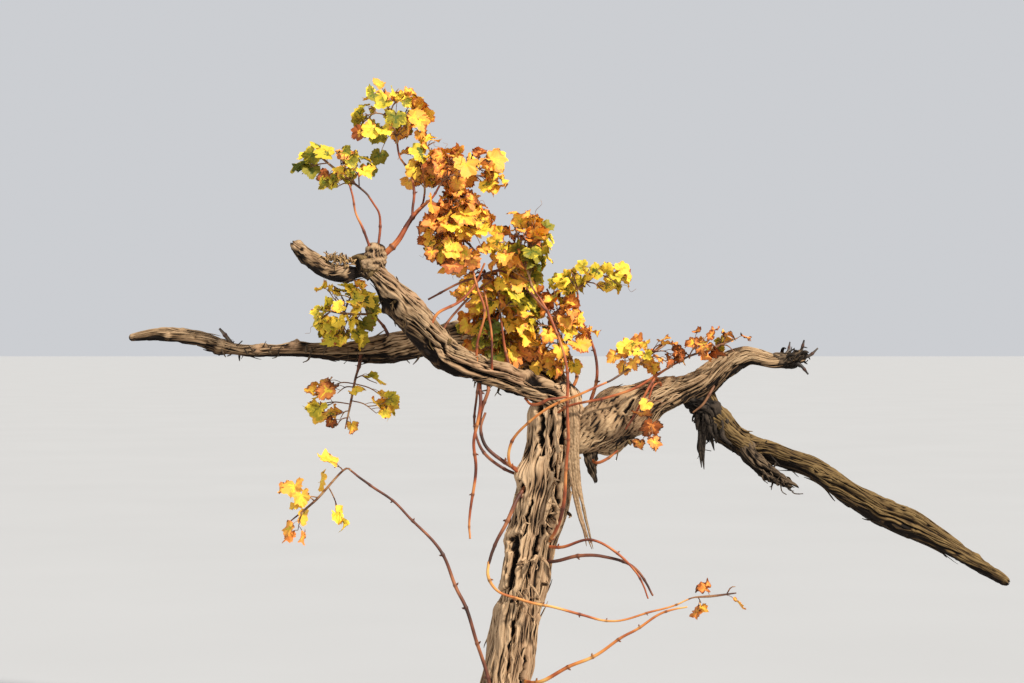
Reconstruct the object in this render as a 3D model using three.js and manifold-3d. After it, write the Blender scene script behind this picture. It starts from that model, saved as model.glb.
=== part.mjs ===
// An old grapevine in autumn: a leaning, twisted trunk, gnarled arms, loose canes and masses of leaves.
// Millimetres, +Z up. The origin is the centre of the flat cut under the trunk at ground level.
// +X runs along the row towards the long right arms, and +Y away from the side that the vine is seen from.
import * as THREE from 'three';
import { mergeVertices } from 'three/addons/utils/BufferGeometryUtils.js';
import Module from 'manifold-3d';

const wasm = await Module();
wasm.setup();

// Clearances between pieces
const JOINT_GAP = 0.35;
const FOLIAGE_CLEARANCE = 0.6;
const WELD_DISTANCE = 1e-4;
const SIMPLIFY_TOLERANCE = 0.03;

// The ground cut, and the flare of the trunk towards its roots
const GROUND_BLOCK = { width: 900, depth: 400 };
const FLARE = { spread: 0.5, height: 80, buttresses: 5, buttressDepth: 0.2 };

// How finely each kind of limb is faceted, and how uneven its bark is
const TRUNK_FINISH = { sides: 18, step: 44, strands: 3, strandDepth: 0.12, twist: 4.2, gnarl: 0.05 };
const ARM_FINISH = { sides: 11, step: 48, strands: 2, strandDepth: 0.1, twist: 6, gnarl: 0.07 };
const SPUR_FINISH = { sides: 8, step: 36, strands: 2, strandDepth: 0.08, twist: 3, gnarl: 0.06 };
const CANE_FINISH = { sides: 5, step: 58, strands: 0, strandDepth: 0, twist: 0, gnarl: 0 };
const STEM_FINISH = { ...CANE_FINISH, sides: 4 };
const TWIG_FINISH = { ...CANE_FINISH, sides: 3 };

// Leaf and twig sizes
const LEAF = {
  length: 104, spread: 0.18, shrink: 0.03, attempts: 14, tilt: 0.6, droop: 0.5, turn: 0.7, skyward: 0.35,
  sideLean: 1.15, tipLean: 0.45, leanSpread: 0.4, petiole: 0.22, width: 0.98, thickness: 3.6, cupping: 0.07,
};
const LEAF_PLACES = [0.45, 0.75, 1];
const TWIG = {
  footRadius: 4.2, stemRadius: 4, stemTipRadius: 2.4, shootRadius: 2.4, tipRadius: 1.8,
  lead: 12, leafRootSink: 1.4,
};
const SHOOT = {
  reach: 0.68, spread: 0.12, stemReach: 0.72, sway: 0.5, arch: 8,
  firstFork: 0.12, forkStep: 0.06, forkLead: 0.16,
};
const GOLDEN_ANGLE = Math.PI * (3 - Math.sqrt(5));

// The waves that make the bark lumpy, and the seeded sequence that the leaves are dealt by
const LUMPS = [{ round: 2, lengthwise: 17 }, { round: 3, lengthwise: -29 }];
const SEQUENCE = { multiplier: 1664525, increment: 1013904223, range: 2 ** 32 };

// Bark, cane and leaf finishes
const FINISHES = {
  bark: { color: 0x8a7561, roughness: 0.95, metalness: 0 },
  deadBark: { color: 0x6e5c4b, roughness: 0.95, metalness: 0 },
  cane: { color: 0xb06a3c, roughness: 0.7, metalness: 0 },
  orangeLeaf: { color: 0xd98a3c, roughness: 0.75, metalness: 0 },
  goldLeaf: { color: 0xe0b83c, roughness: 0.75, metalness: 0 },
  greenLeaf: { color: 0xa9a63c, roughness: 0.75, metalness: 0 },
};

// Wooden limbs. Each station is [x, y, z, radius]; a limb is carved clear of the ones above it in this list.
const WOOD = [
  {
    name: 'trunk', finish: TRUNK_FINISH, material: 'bark', flared: true,
    stations: [[-14, 0, -60, 60], [0, 0, 0, 60], [50, 0, 232, 56], [107, 0, 500, 56],
      [140, -5, 650, 59], [157, -5, 735, 67], [182, 0, 825, 67], [202, 0, 900, 56], [208, 0, 925, 34]],
  },
  {
    name: 'right_arm', finish: ARM_FINISH, material: 'bark',
    stations: [[205, 0, 805, 50], [285, 5, 830, 72], [358, 5, 870, 62], [422, 0, 905, 44],
      [487, -10, 925, 33], [551, -22, 950, 30], [604, -32, 990, 27], [653, -42, 1010, 22],
      [717, -48, 998, 18], [790, -52, 1005, 11]],
  },
  {
    name: 'left_arm', finish: ARM_FINISH, material: 'bark',
    stations: [[205, 0, 870, 40], [112, -30, 926, 38], [18, -48, 966, 35], [-86, -64, 1015, 38],
      [-164, -82, 1094, 38], [-232, -96, 1173, 33], [-271, -100, 1236, 36], [-259, -100, 1284, 24]],
  },
  {
    name: 'lower_right_arm', finish: ARM_FINISH, material: 'bark',
    stations: [[543, 5, 932, 26], [579, 15, 880, 36], [653, 30, 799, 31], [734, 30, 761, 25],
      [818, 20, 731, 23], [879, 10, 689, 25], [986, -10, 623, 28], [1083, -25, 582, 27],
      [1174, -40, 524, 21], [1296, -50, 450, 12]],
  },
  {
    name: 'lower_right_stub', finish: SPUR_FINISH, material: 'deadBark',
    stations: [[636, 25, 815, 18], [659, 12, 767, 20], [698, 2, 727, 18], [737, -4, 703, 15],
      [768, -8, 686, 7]],
  },
  {
    name: 'back_left_arm', finish: ARM_FINISH, material: 'bark',
    stations: [[200, 20, 868, 34], [176, 110, 925, 36], [110, 170, 990, 34], [20, 195, 1040, 30],
      [-75, 205, 1055, 30], [-223, 215, 1035, 37], [-354, 220, 1019, 24], [-483, 215, 1024, 16],
      [-625, 210, 1024, 16], [-754, 200, 1055, 18], [-856, 190, 1066, 15], [-922, 185, 1055, 9]],
  },
  {
    name: 'left_spur', finish: SPUR_FINISH, material: 'bark',
    stations: [[-265, -100, 1226, 20], [-330, -105, 1214, 20], [-378, -110, 1217, 19], [-417, -115, 1241, 16],
      [-468, -120, 1292, 10]],
  },
  {
    name: 'under_spur', finish: SPUR_FINISH, material: 'deadBark',
    stations: [[272, -5, 800, 18], [264, -18, 751, 15], [272, -24, 705, 7]],
  },
];

// Canes, with the same kind of stations. One that carries leaves ends in the flat cut that their stem meets.
const CANES = {
  upper_cane: [[-262, -100, 1240, 10], [-215, -98, 1273, 11], [-178, -92, 1315, 10], [-159, -85, 1355, 8],
    [-140, -80, 1382, 6]],
  left_cane_low: [[-271, -112, 1250, 5], [-298, -116, 1324, 5], [-315, -118, 1361, 4], [-322, -118, 1400, 4]],
  left_cane_high: [[-262, -88, 1262, 5], [-255, -80, 1330, 5], [-259, -80, 1366, 4], [-283, -86, 1400, 4]],
  top_cane: [[-162, -84, 1352, 5], [-172, -72, 1420, 5], [-186, -68, 1464, 4], [-212, -64, 1502, 4],
    [-216, -62, 1535, 4]],
  neck_cane: [[-152, -84, 1360, 5], [-146, -56, 1384, 4], [-150, -40, 1410, 4]],
  shoulder_cane: [[-142, -90, 1372, 5], [-128, -92, 1400, 4], [-112, -84, 1428, 4]],
  mid_cane: [[105, -20, 706, 6], [45, -38, 732, 6], [-4, -20, 771, 6], [-25, 20, 825, 5], [-23, 40, 899, 5],
    [-15, 52, 975, 5]],
  front_cane: [[148, -20, 528, 7], [186, -60, 579, 7], [213, -84, 655, 7], [223, -96, 729, 6],
    [223, -98, 828, 6], [212, -98, 939, 6], [190, -92, 1045, 5], [150, -78, 1125, 5], [124, -66, 1170, 4]],
  crossing_cane: [[108, -24, 706, 6], [62, -70, 748, 6], [66, -90, 800, 6], [112, -110, 850, 5],
    [166, -122, 890, 5], [234, -122, 917, 5], [300, -104, 946, 4]],
  long_crossing_cane: [[168, -40, 860, 5], [205, -74, 888, 5], [300, -86, 906, 5], [408, -70, 952, 5],
    [488, -52, 1000, 4]],
  knot_whip: [[112, -30, 700, 8], [74, -76, 643, 8], [38, -92, 570, 7], [10, -98, 500, 6]],
  foot_whip: [[10, -98, 506, 5], [12, -102, 468, 6], [36, -104, 432, 5], [92, -104, 411, 5],
    [161, -100, 398, 5], [240, -92, 372, 5], [329, -84, 360, 4], [413, -78, 379, 4], [503, -70, 410, 3]],
  low_left_whip: [[36, -26, 110, 8], [14, -70, 185, 8], [-12, -84, 290, 7], [-60, -86, 421, 7],
    [-115, -80, 537, 6], [-197, -72, 625, 5], [-283, -64, 694, 5], [-330, -58, 726, 4]],
  right_whip: [[140, -20, 540, 6], [190, -62, 540, 6], [260, -84, 556, 5], [324, -90, 530, 5],
    [373, -88, 475, 4], [403, -82, 413, 3]],
  bridge_cane: [[66, -34, 960, 6], [50, -26, 1030, 5], [40, -24, 1104, 4]],
  back_spur: [[-244, 200, 1040, 10], [-262, 190, 1082, 6], [-280, 180, 1104, 5]],
  hanging_spur: [[-322, 212, 1024, 10], [-329, 206, 983, 7], [-334, 204, 966, 5]],
  behind_cane: [[205, 80, 905, 8], [232, 84, 955, 6], [222, 84, 990, 5]],
  tail_cane: [[262, 20, 880, 8], [284, 50, 960, 6], [262, 62, 1060, 5], [238, 66, 1120, 5],
    [234, 70, 1165, 4]],
  head_cane: [[441, -10, 926, 6], [436, -52, 945, 4], [416, -84, 935, 4], [404, -86, 905, 4]],
};

// Masses of leaves. Each keeps to an ellipsoid, and its stem grows on from the end of the cane that bears it.
const MASSES = [
  {
    name: 'crown_tip_leaves', bearer: 'top_cane', tint: 'goldLeaf',
    centre: [-234, -60, 1618], radii: [116, 84, 96], shoots: 9, seed: 11,
  },
  {
    name: 'left_spray_leaves', bearer: 'left_cane_high', tint: 'greenLeaf',
    centre: [-372, -100, 1474], radii: [104, 72, 74], shoots: 7, seed: 23,
  },
  {
    name: 'neck_leaves', bearer: 'neck_cane', tint: 'goldLeaf',
    centre: [-162, -24, 1482], radii: [72, 70, 92], shoots: 5, seed: 29,
  },
  {
    name: 'shoulder_leaves', bearer: 'shoulder_cane', tint: 'orangeLeaf',
    centre: [-50, -50, 1488], radii: [136, 90, 88], shoots: 10, seed: 37,
  },
  {
    name: 'heart_leaves', bearer: 'upper_cane', tint: 'orangeLeaf',
    centre: [-78, -60, 1322], radii: [118, 96, 116], shoots: 11, seed: 41,
  },
  {
    name: 'slope_leaves', bearer: 'front_cane', tint: 'orangeLeaf',
    centre: [98, -40, 1274], radii: [108, 90, 118], shoots: 10, seed: 53,
  },
  {
    name: 'bridge_leaves', bearer: 'bridge_cane', tint: 'orangeLeaf',
    centre: [34, -20, 1172], radii: [116, 76, 76], shoots: 7, seed: 59,
  },
  {
    name: 'mid_left_leaves', bearer: 'mid_cane', tint: 'greenLeaf',
    centre: [20, 62, 1084], radii: [122, 88, 128], shoots: 11, seed: 67,
  },
  {
    name: 'mid_right_leaves', bearer: 'behind_cane', tint: 'goldLeaf',
    centre: [182, 70, 1076], radii: [100, 84, 128], shoots: 9, seed: 71,
  },
  {
    name: 'tail_leaves', bearer: 'tail_cane', tint: 'goldLeaf',
    centre: [276, 74, 1200], radii: [122, 70, 64], shoots: 9, seed: 83,
  },
  {
    name: 'right_near_leaves', bearer: 'crossing_cane', tint: 'orangeLeaf',
    centre: [386, -50, 1014], radii: [110, 80, 74], shoots: 7, seed: 97,
  },
  {
    name: 'right_far_leaves', bearer: 'long_crossing_cane', tint: 'orangeLeaf',
    centre: [586, -40, 1046], radii: [108, 70, 66], shoots: 8, seed: 103,
  },
  {
    name: 'back_leaves', bearer: 'back_spur', tint: 'greenLeaf',
    centre: [-362, 160, 1118], radii: [104, 76, 98], shoots: 8, seed: 113,
  },
  {
    name: 'hanging_leaves', bearer: 'hanging_spur', tint: 'goldLeaf',
    centre: [-350, 195, 888], radii: [126, 80, 96], shoots: 8, seed: 127,
  },
  {
    name: 'low_left_leaves', bearer: 'low_left_whip', tint: 'goldLeaf',
    centre: [-420, -50, 652], radii: [104, 72, 132], shoots: 5, seed: 139,
  },
  {
    name: 'head_leaves', bearer: 'head_cane', tint: 'orangeLeaf',
    centre: [404, -94, 852], radii: [66, 52, 84], shoots: 3, seed: 149,
  },
  {
    name: 'whip_leaves', bearer: 'foot_whip', tint: 'orangeLeaf',
    centre: [560, -74, 418], radii: [86, 56, 62], shoots: 2, seed: 151,
  },
];

/** A repeatable sequence of numbers from 0 to 1. */
function seededRandom(seed) {
  let state = seed >>> 0;
  return () => {
    state = (Math.imul(state, SEQUENCE.multiplier) + SEQUENCE.increment) >>> 0;
    return state / SEQUENCE.range;
  };
}

/** A closed BufferGeometry from a list of positions and a list of triangles. */
function closedGeometry(positions, triangles) {
  const geometry = new THREE.BufferGeometry();
  geometry.setAttribute('position', new THREE.Float32BufferAttribute(positions, 3));
  geometry.setIndex(triangles);
  return geometry;
}

/** Turns a closed geometry into a solid that can be joined and cut. */
function solidFrom(geometry) {
  geometry.deleteAttribute('normal');
  geometry.deleteAttribute('uv');
  const merged = mergeVertices(geometry, WELD_DISTANCE);
  return new wasm.Manifold(new wasm.Mesh({
    numProp: 3,
    vertProperties: new Float32Array(merged.attributes.position.array),
    triVerts: new Uint32Array(merged.index.array),
  }));
}

/** Turns a solid back into a geometry with normals. */
function geometryFrom(solid) {
  const mesh = solid.getMesh();
  const geometry = closedGeometry(Array.from(mesh.vertProperties), Array.from(mesh.triVerts));
  geometry.computeVertexNormals();
  return geometry;
}

/** The largest body of a solid: loose scraps and sealed hollows are dropped. */
function largestBody(solid) {
  const bodies = solid.decompose();
  return bodies.reduce((best, body) => (body.volume() > best.volume() ? body : best));
}

/** One tapering limb along a smooth route through its stations. */
class Limb {
  constructor({ stations, finish, flared = false }) {
    this.finish = finish;
    this.flared = flared;
    const places = stations.map(([x, y, z]) => new THREE.Vector3(x, y, z));
    const radii = stations.map(([, , , radius]) => new THREE.Vector3(radius, 0, 0));
    this.curve = new THREE.CatmullRomCurve3(places, false, 'centripetal');
    this.radii = new THREE.CatmullRomCurve3(radii, false, 'catmullrom', 0.5);
    this.rings = Math.max(stations.length - 1, Math.ceil(this.curve.getLength() / finish.step));
  }

  /** How far the bark stands out at one place, as a share of the limb's radius there. */
  relief(angle, along, height) {
    const { strands, strandDepth, twist, gnarl } = this.finish;
    const strand = strandDepth * Math.cos(strands * angle + twist * along);
    const lumps = LUMPS.map(({ round, lengthwise }) => Math.sin(round * angle + lengthwise * along));
    const lump = gnarl * lumps.reduce((sum, wave) => sum + wave, 0);
    return 1 + strand + lump + (this.flared ? this.flare(angle, height) : 0);
  }

  /** The extra spread of the trunk's foot, with its buttresses. */
  flare(angle, height) {
    const closeness = Math.exp(-Math.max(height, 0) / FLARE.height);
    return closeness * (FLARE.spread + FLARE.buttressDepth * Math.sin(FLARE.buttresses * angle));
  }

  /** The limb as a closed solid, grown outwards by a margin where something is to be carved clear of it. */
  solid(margin = 0) {
    const { sides } = this.finish;
    const { rings, curve } = this;
    const frames = curve.computeFrenetFrames(rings, false);
    const positions = [];
    const triangles = [];
    for (let ring = 0; ring <= rings; ring += 1) {
      const along = ring / rings;
      const endShift = (ring === rings ? margin : 0) - (ring === 0 ? margin : 0);
      const centre = curve.getPointAt(along).addScaledVector(frames.tangents[ring], endShift);
      const radius = this.radiusAt(along);
      for (let side = 0; side < sides; side += 1) {
        const angle = (2 * Math.PI * side) / sides;
        const reach = radius * this.relief(angle, along, centre.z) + margin;
        positions.push(...centre.clone()
          .addScaledVector(frames.normals[ring], reach * Math.cos(angle))
          .addScaledVector(frames.binormals[ring], reach * Math.sin(angle)));
      }
    }
    for (let ring = 0; ring < rings; ring += 1) {
      for (let side = 0; side < sides; side += 1) {
        const near = ring * sides + side;
        const nearNext = ring * sides + ((side + 1) % sides);
        triangles.push(near, nearNext, nearNext + sides, near, nearNext + sides, near + sides);
      }
    }
    const last = rings * sides;
    for (let side = 1; side < sides - 1; side += 1) {
      triangles.push(0, side + 1, side, last, last + side, last + side + 1);
    }
    return solidFrom(closedGeometry(positions, triangles));
  }

  /** The limb's radius at a share of its length. */
  radiusAt(along) {
    return this.radii.getPoint(this.curve.getUtoTmapping(along)).x;
  }

  /** The limb's end: its place, the way it points and its radius. */
  tip() {
    return { point: this.curve.getPointAt(1), tangent: this.curve.getTangentAt(1), radius: this.radiusAt(1) };
  }
}

/** A lobed vine leaf: a thin closed blade whose pointed stalk starts inside its twig. */
function leafSolid(root, direction, normal, length) {
  const across = new THREE.Vector3().crossVectors(normal, direction).normalize();
  const up = new THREE.Vector3().crossVectors(direction, across).normalize();
  const bladeStart = TWIG.leafRootSink + LEAF.petiole * length;
  const blade = (1 - LEAF.petiole) * length;
  const halfWidth = (LEAF.width * blade) / 2;
  const lift = LEAF.cupping * length;
  const outline = [
    [0, 0, 0],
    [bladeStart, -0.72 * halfWidth, 0],
    [bladeStart + 0.4 * blade, -halfWidth, -lift],
    [bladeStart + blade, 0, -lift],
    [bladeStart + 0.4 * blade, halfWidth, -lift],
    [bladeStart, 0.72 * halfWidth, 0],
  ];
  const heart = bladeStart + 0.3 * blade;
  const corners = [...outline, [heart, 0, LEAF.thickness / 2], [heart, 0, -LEAF.thickness / 2]];
  const positions = corners.flatMap(([forward, sideways, raised]) => [...root.clone()
    .addScaledVector(direction, forward).addScaledVector(across, sideways).addScaledVector(up, raised)]);
  const triangles = [];
  const top = outline.length;
  const bottom = outline.length + 1;
  for (let corner = 0; corner < outline.length; corner += 1) {
    const next = (corner + 1) % outline.length;
    triangles.push(top, corner, next, bottom, next, corner);
  }
  return solidFrom(closedGeometry(positions, triangles));
}

/** One mass of leaves: a stem from its cane, shoots that fan out through its space, and leaves along them. */
class Mass {
  constructor({ centre, radii, shoots, seed }, foot) {
    this.centre = new THREE.Vector3(...centre);
    this.reach = new THREE.Vector3(...radii);
    this.shoots = shoots;
    this.random = seededRandom(seed);
    this.foot = foot;
  }

  /** The direction from the middle of the space to a point, with 1 as its length on the surface. */
  outwardTo(point) {
    return point.clone().sub(this.centre).divide(this.reach);
  }

  /** A number spread evenly about zero. */
  jitter(amount) {
    return amount * (2 * this.random() - 1);
  }

  /** The stem: it leaves the cane's cut end straight on, and runs through the middle to the far side. */
  stem() {
    const { point, tangent, radius } = this.foot;
    const start = point.clone().addScaledVector(tangent, JOINT_GAP);
    const lead = start.clone().addScaledVector(tangent, TWIG.lead);
    const away = this.outwardTo(start).negate().normalize();
    const far = this.centre.clone().add(away.multiply(this.reach).multiplyScalar(SHOOT.stemReach));
    const footRadius = Math.min(radius, TWIG.footRadius);
    const stations = [[...start, footRadius], [...lead, footRadius],
      [...this.centre, TWIG.stemRadius], [...far, TWIG.stemTipRadius]];
    return new Limb({ stations, finish: STEM_FINISH });
  }

  /** One shoot: from the nearest part of the stem towards a place on the surface of the space. */
  shoot(stem, index) {
    const height = 1 - (2 * index + 1) / this.shoots;
    const ring = Math.sqrt(1 - height * height);
    const bearing = GOLDEN_ANGLE * index + this.jitter(SHOOT.sway);
    const outward = new THREE.Vector3(ring * Math.cos(bearing), ring * Math.sin(bearing), height);
    const span = SHOOT.reach + this.jitter(SHOOT.spread);
    const end = this.centre.clone().add(outward.multiply(this.reach).multiplyScalar(span));
    const fork = this.forkFor(stem, end);
    const bend = fork.clone().lerp(end, 0.5).add(new THREE.Vector3(0, 0, SHOOT.arch));
    const stations = [[...fork, TWIG.shootRadius], [...bend, TWIG.shootRadius], [...end, TWIG.tipRadius]];
    return new Limb({ stations, finish: TWIG_FINISH });
  }

  /** The place on the stem that a shoot leaves from: a little before the point nearest to its end. */
  forkFor(stem, end) {
    const distanceAt = (place) => stem.curve.getPointAt(place).distanceTo(end);
    let nearest = SHOOT.firstFork;
    for (let place = SHOOT.firstFork; place < 1; place += SHOOT.forkStep) {
      if (distanceAt(place) < distanceAt(nearest)) nearest = place;
    }
    return stem.curve.getPointAt(Math.max(SHOOT.firstFork, nearest - SHOOT.forkLead));
  }

  /** One leaf at a share of a twig's length, turned a new way and a little smaller at each attempt. */
  leaf(twig, along, attempt) {
    const node = twig.curve.getPointAt(along);
    const tangent = twig.curve.getTangentAt(along);
    const bearing = 2 * Math.PI * this.random();
    const rise = this.jitter(LEAF.tilt) - LEAF.droop;
    const sideways = new THREE.Vector3(Math.cos(bearing), Math.sin(bearing), rise)
      .projectOnPlane(tangent).normalize();
    const lean = (along < 1 ? LEAF.sideLean : LEAF.tipLean) + this.jitter(LEAF.leanSpread);
    const direction = sideways.multiplyScalar(Math.sin(lean)).addScaledVector(tangent, Math.cos(lean));
    const outward = this.outwardTo(node).normalize();
    const turn = new THREE.Vector3(this.jitter(LEAF.turn), this.jitter(LEAF.turn), LEAF.skyward);
    const facing = outward.add(turn).normalize();
    const length = LEAF.length * (1 + this.jitter(LEAF.spread)) * (1 - LEAF.shrink * attempt);
    const root = node.clone().addScaledVector(direction, -TWIG.leafRootSink);
    return { solid: leafSolid(root, direction, facing, length), end: node.addScaledVector(direction, length) };
  }

  /** The shoots that are clear of every obstacle. */
  clearShoots(stem, obstacles) {
    const shoots = Array.from({ length: this.shoots }, (_, index) => this.shoot(stem, index));
    return shoots.filter((shoot) => isClear(shoot.solid(), obstacles));
  }

  /** Grows the whole mass clear of the obstacles and returns it as one solid. */
  grow(obstacles) {
    const stem = this.stem();
    const twigs = [stem, ...this.clearShoots(stem, obstacles)];
    const twigSolids = twigs.map((twig) => twig.solid());
    const leaves = [];
    for (const [index, twig] of twigs.entries()) {
      const others = [...obstacles, ...twigSolids.filter((_, other) => other !== index)];
      for (const along of LEAF_PLACES) {
        for (let attempt = 0; attempt < LEAF.attempts; attempt += 1) {
          const { solid, end } = this.leaf(twig, along, attempt);
          const fits = this.outwardTo(end).length() < 1;
          if (fits && isClear(solid, others) && isClear(solid, leaves)) {
            leaves.push(solid);
            break;
          }
        }
      }
    }
    const pieces = [...twigSolids, ...leaves];
    return largestBody(wasm.Manifold.union(pieces)).simplify(SIMPLIFY_TOLERANCE);
  }
}

/** Whether a solid keeps its clearance from each of some others. */
function isClear(solid, others) {
  const box = solid.boundingBox();
  return others.every((other) => {
    const around = other.boundingBox();
    const apart = [0, 1, 2].some((axis) => (
      box.min[axis] > around.max[axis] + FOLIAGE_CLEARANCE
      || around.min[axis] > box.max[axis] + FOLIAGE_CLEARANCE));
    return apart || solid.minGap(other, FOLIAGE_CLEARANCE) >= FOLIAGE_CLEARANCE;
  });
}

/** The block of ground that the trunk's foot is cut off by. */
function groundBlock() {
  const block = new THREE.BoxGeometry(GROUND_BLOCK.width, GROUND_BLOCK.width, GROUND_BLOCK.depth);
  block.translate(0, 0, -GROUND_BLOCK.depth / 2);
  return solidFrom(block);
}

/** A named mesh of a solid in one of the finishes. */
function meshOf(name, solid, finishName) {
  const { color, roughness, metalness } = FINISHES[finishName];
  const material = new THREE.MeshStandardMaterial({ color, roughness, metalness });
  const mesh = new THREE.Mesh(geometryFrom(solid), material);
  mesh.name = name;
  return mesh;
}

/** Builds the limbs in order, each carved clear of the ones before it. */
function buildLimbs(vine) {
  const limbs = new Map();
  const solids = [];
  const canes = Object.entries(CANES).map(([name, stations]) => (
    { name, stations, finish: CANE_FINISH, material: 'cane' }));
  let ground = groundBlock();
  for (const spec of [...WOOD, ...canes]) {
    const limb = new Limb(spec);
    const solid = largestBody(limb.solid().subtract(ground)).simplify(SIMPLIFY_TOLERANCE);
    ground = ground.add(limb.solid(JOINT_GAP));
    limbs.set(spec.name, limb);
    solids.push(solid);
    vine.add(meshOf(spec.name, solid, spec.material));
  }
  return { limbs, solids };
}

/** Grows the masses of leaves in order, each clear of the limbs and of the masses before it. */
function growMasses(vine, limbs, obstacles) {
  for (const spec of MASSES) {
    const solid = new Mass(spec, limbs.get(spec.bearer).tip()).grow(obstacles);
    obstacles.push(solid);
    vine.add(meshOf(spec.name, solid, spec.tint));
  }
}

const vine = new THREE.Group();
vine.name = 'grapevine';
const { limbs, solids } = buildLimbs(vine);
growMasses(vine, limbs, solids);

export default vine;
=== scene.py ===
"""An old grapevine in autumn: a leaning, twisted trunk, gnarled arms, loose canes and clusters of leaves.

Metres, +Z up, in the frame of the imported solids. Each limb, cane and cluster of leaves stands for the solid
of its node. Limbs and canes follow the solids' stations, moved by up to 20 mm in places, and the twigs grow
by the solids' own seeded rule, carried on to finer twigs with leaves of about their real size.
"""

import logging
import math
from collections.abc import Sequence
from dataclasses import dataclass, field, replace
from enum import Enum

import bpy
import numpy as np
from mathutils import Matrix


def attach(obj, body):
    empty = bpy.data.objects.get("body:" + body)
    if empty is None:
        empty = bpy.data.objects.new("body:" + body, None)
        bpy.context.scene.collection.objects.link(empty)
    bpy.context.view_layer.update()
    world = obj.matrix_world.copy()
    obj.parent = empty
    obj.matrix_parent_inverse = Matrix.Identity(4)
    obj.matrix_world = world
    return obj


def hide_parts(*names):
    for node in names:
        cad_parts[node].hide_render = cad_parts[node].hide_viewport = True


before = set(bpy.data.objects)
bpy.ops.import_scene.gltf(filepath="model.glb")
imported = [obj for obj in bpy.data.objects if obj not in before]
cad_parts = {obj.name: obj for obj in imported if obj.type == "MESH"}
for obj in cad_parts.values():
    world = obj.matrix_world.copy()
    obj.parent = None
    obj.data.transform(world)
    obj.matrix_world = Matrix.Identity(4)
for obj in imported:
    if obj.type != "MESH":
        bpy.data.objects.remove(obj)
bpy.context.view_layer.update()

logging.basicConfig(level=logging.INFO, format="%(message)s")
log = logging.getLogger("grapevine")

Station = tuple[float, float, float, float]
Place = tuple[float, float, float]
Colour = tuple[float, float, float]
Span = tuple[float, float]
Finishes = dict[str, bpy.types.Material]

BODY = "root"
BAKE_MAP = "OFBake"
UP = np.array([0.0, 0.0, 1.0])
FULL_TURN = 2 * math.pi
GOLDEN_ANGLE = math.pi * (3 - math.sqrt(5))
FIBRE_PITCH = 0.09


class LimbKind(Enum):
    """The kinds of woody limb, which differ in how their bark is cut."""

    TRUNK = "trunk"
    HEAD = "head"
    ARM = "arm"
    SPUR = "spur"


class Tint(Enum):
    """The autumn tints of the leaves, in the order in which a leaf turns."""

    GREEN = 0
    OLIVE = 1
    LIME = 2
    LEMON = 3
    GOLD = 4
    AMBER = 5
    ORANGE = 6
    RUST = 7
    BROWN = 8


def unit(vectors: np.ndarray) -> np.ndarray:
    """Vectors scaled to a length of one."""
    return vectors / np.maximum(np.linalg.norm(vectors, axis=-1, keepdims=True), 1e-12)


def smooth_step(values: np.ndarray) -> np.ndarray:
    """Values from 0 to 1, eased at both ends."""
    clipped = np.clip(values, 0, 1)
    return clipped * clipped * (3 - 2 * clipped)


class SeededSequence:
    """The repeatable sequence of numbers that the solids' twigs are dealt by."""

    MULTIPLIER = 1664525
    INCREMENT = 1013904223
    RANGE = 2**32

    def __init__(self, seed: int) -> None:
        """Starts the sequence at a seed."""
        self.state = seed

    def number(self) -> float:
        """The next number from 0 to 1."""
        self.state = (self.state * self.MULTIPLIER + self.INCREMENT) % self.RANGE
        return self.state / self.RANGE

    def jitter(self, amount: float) -> float:
        """The next number spread evenly about zero."""
        return amount * (2 * self.number() - 1)


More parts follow.
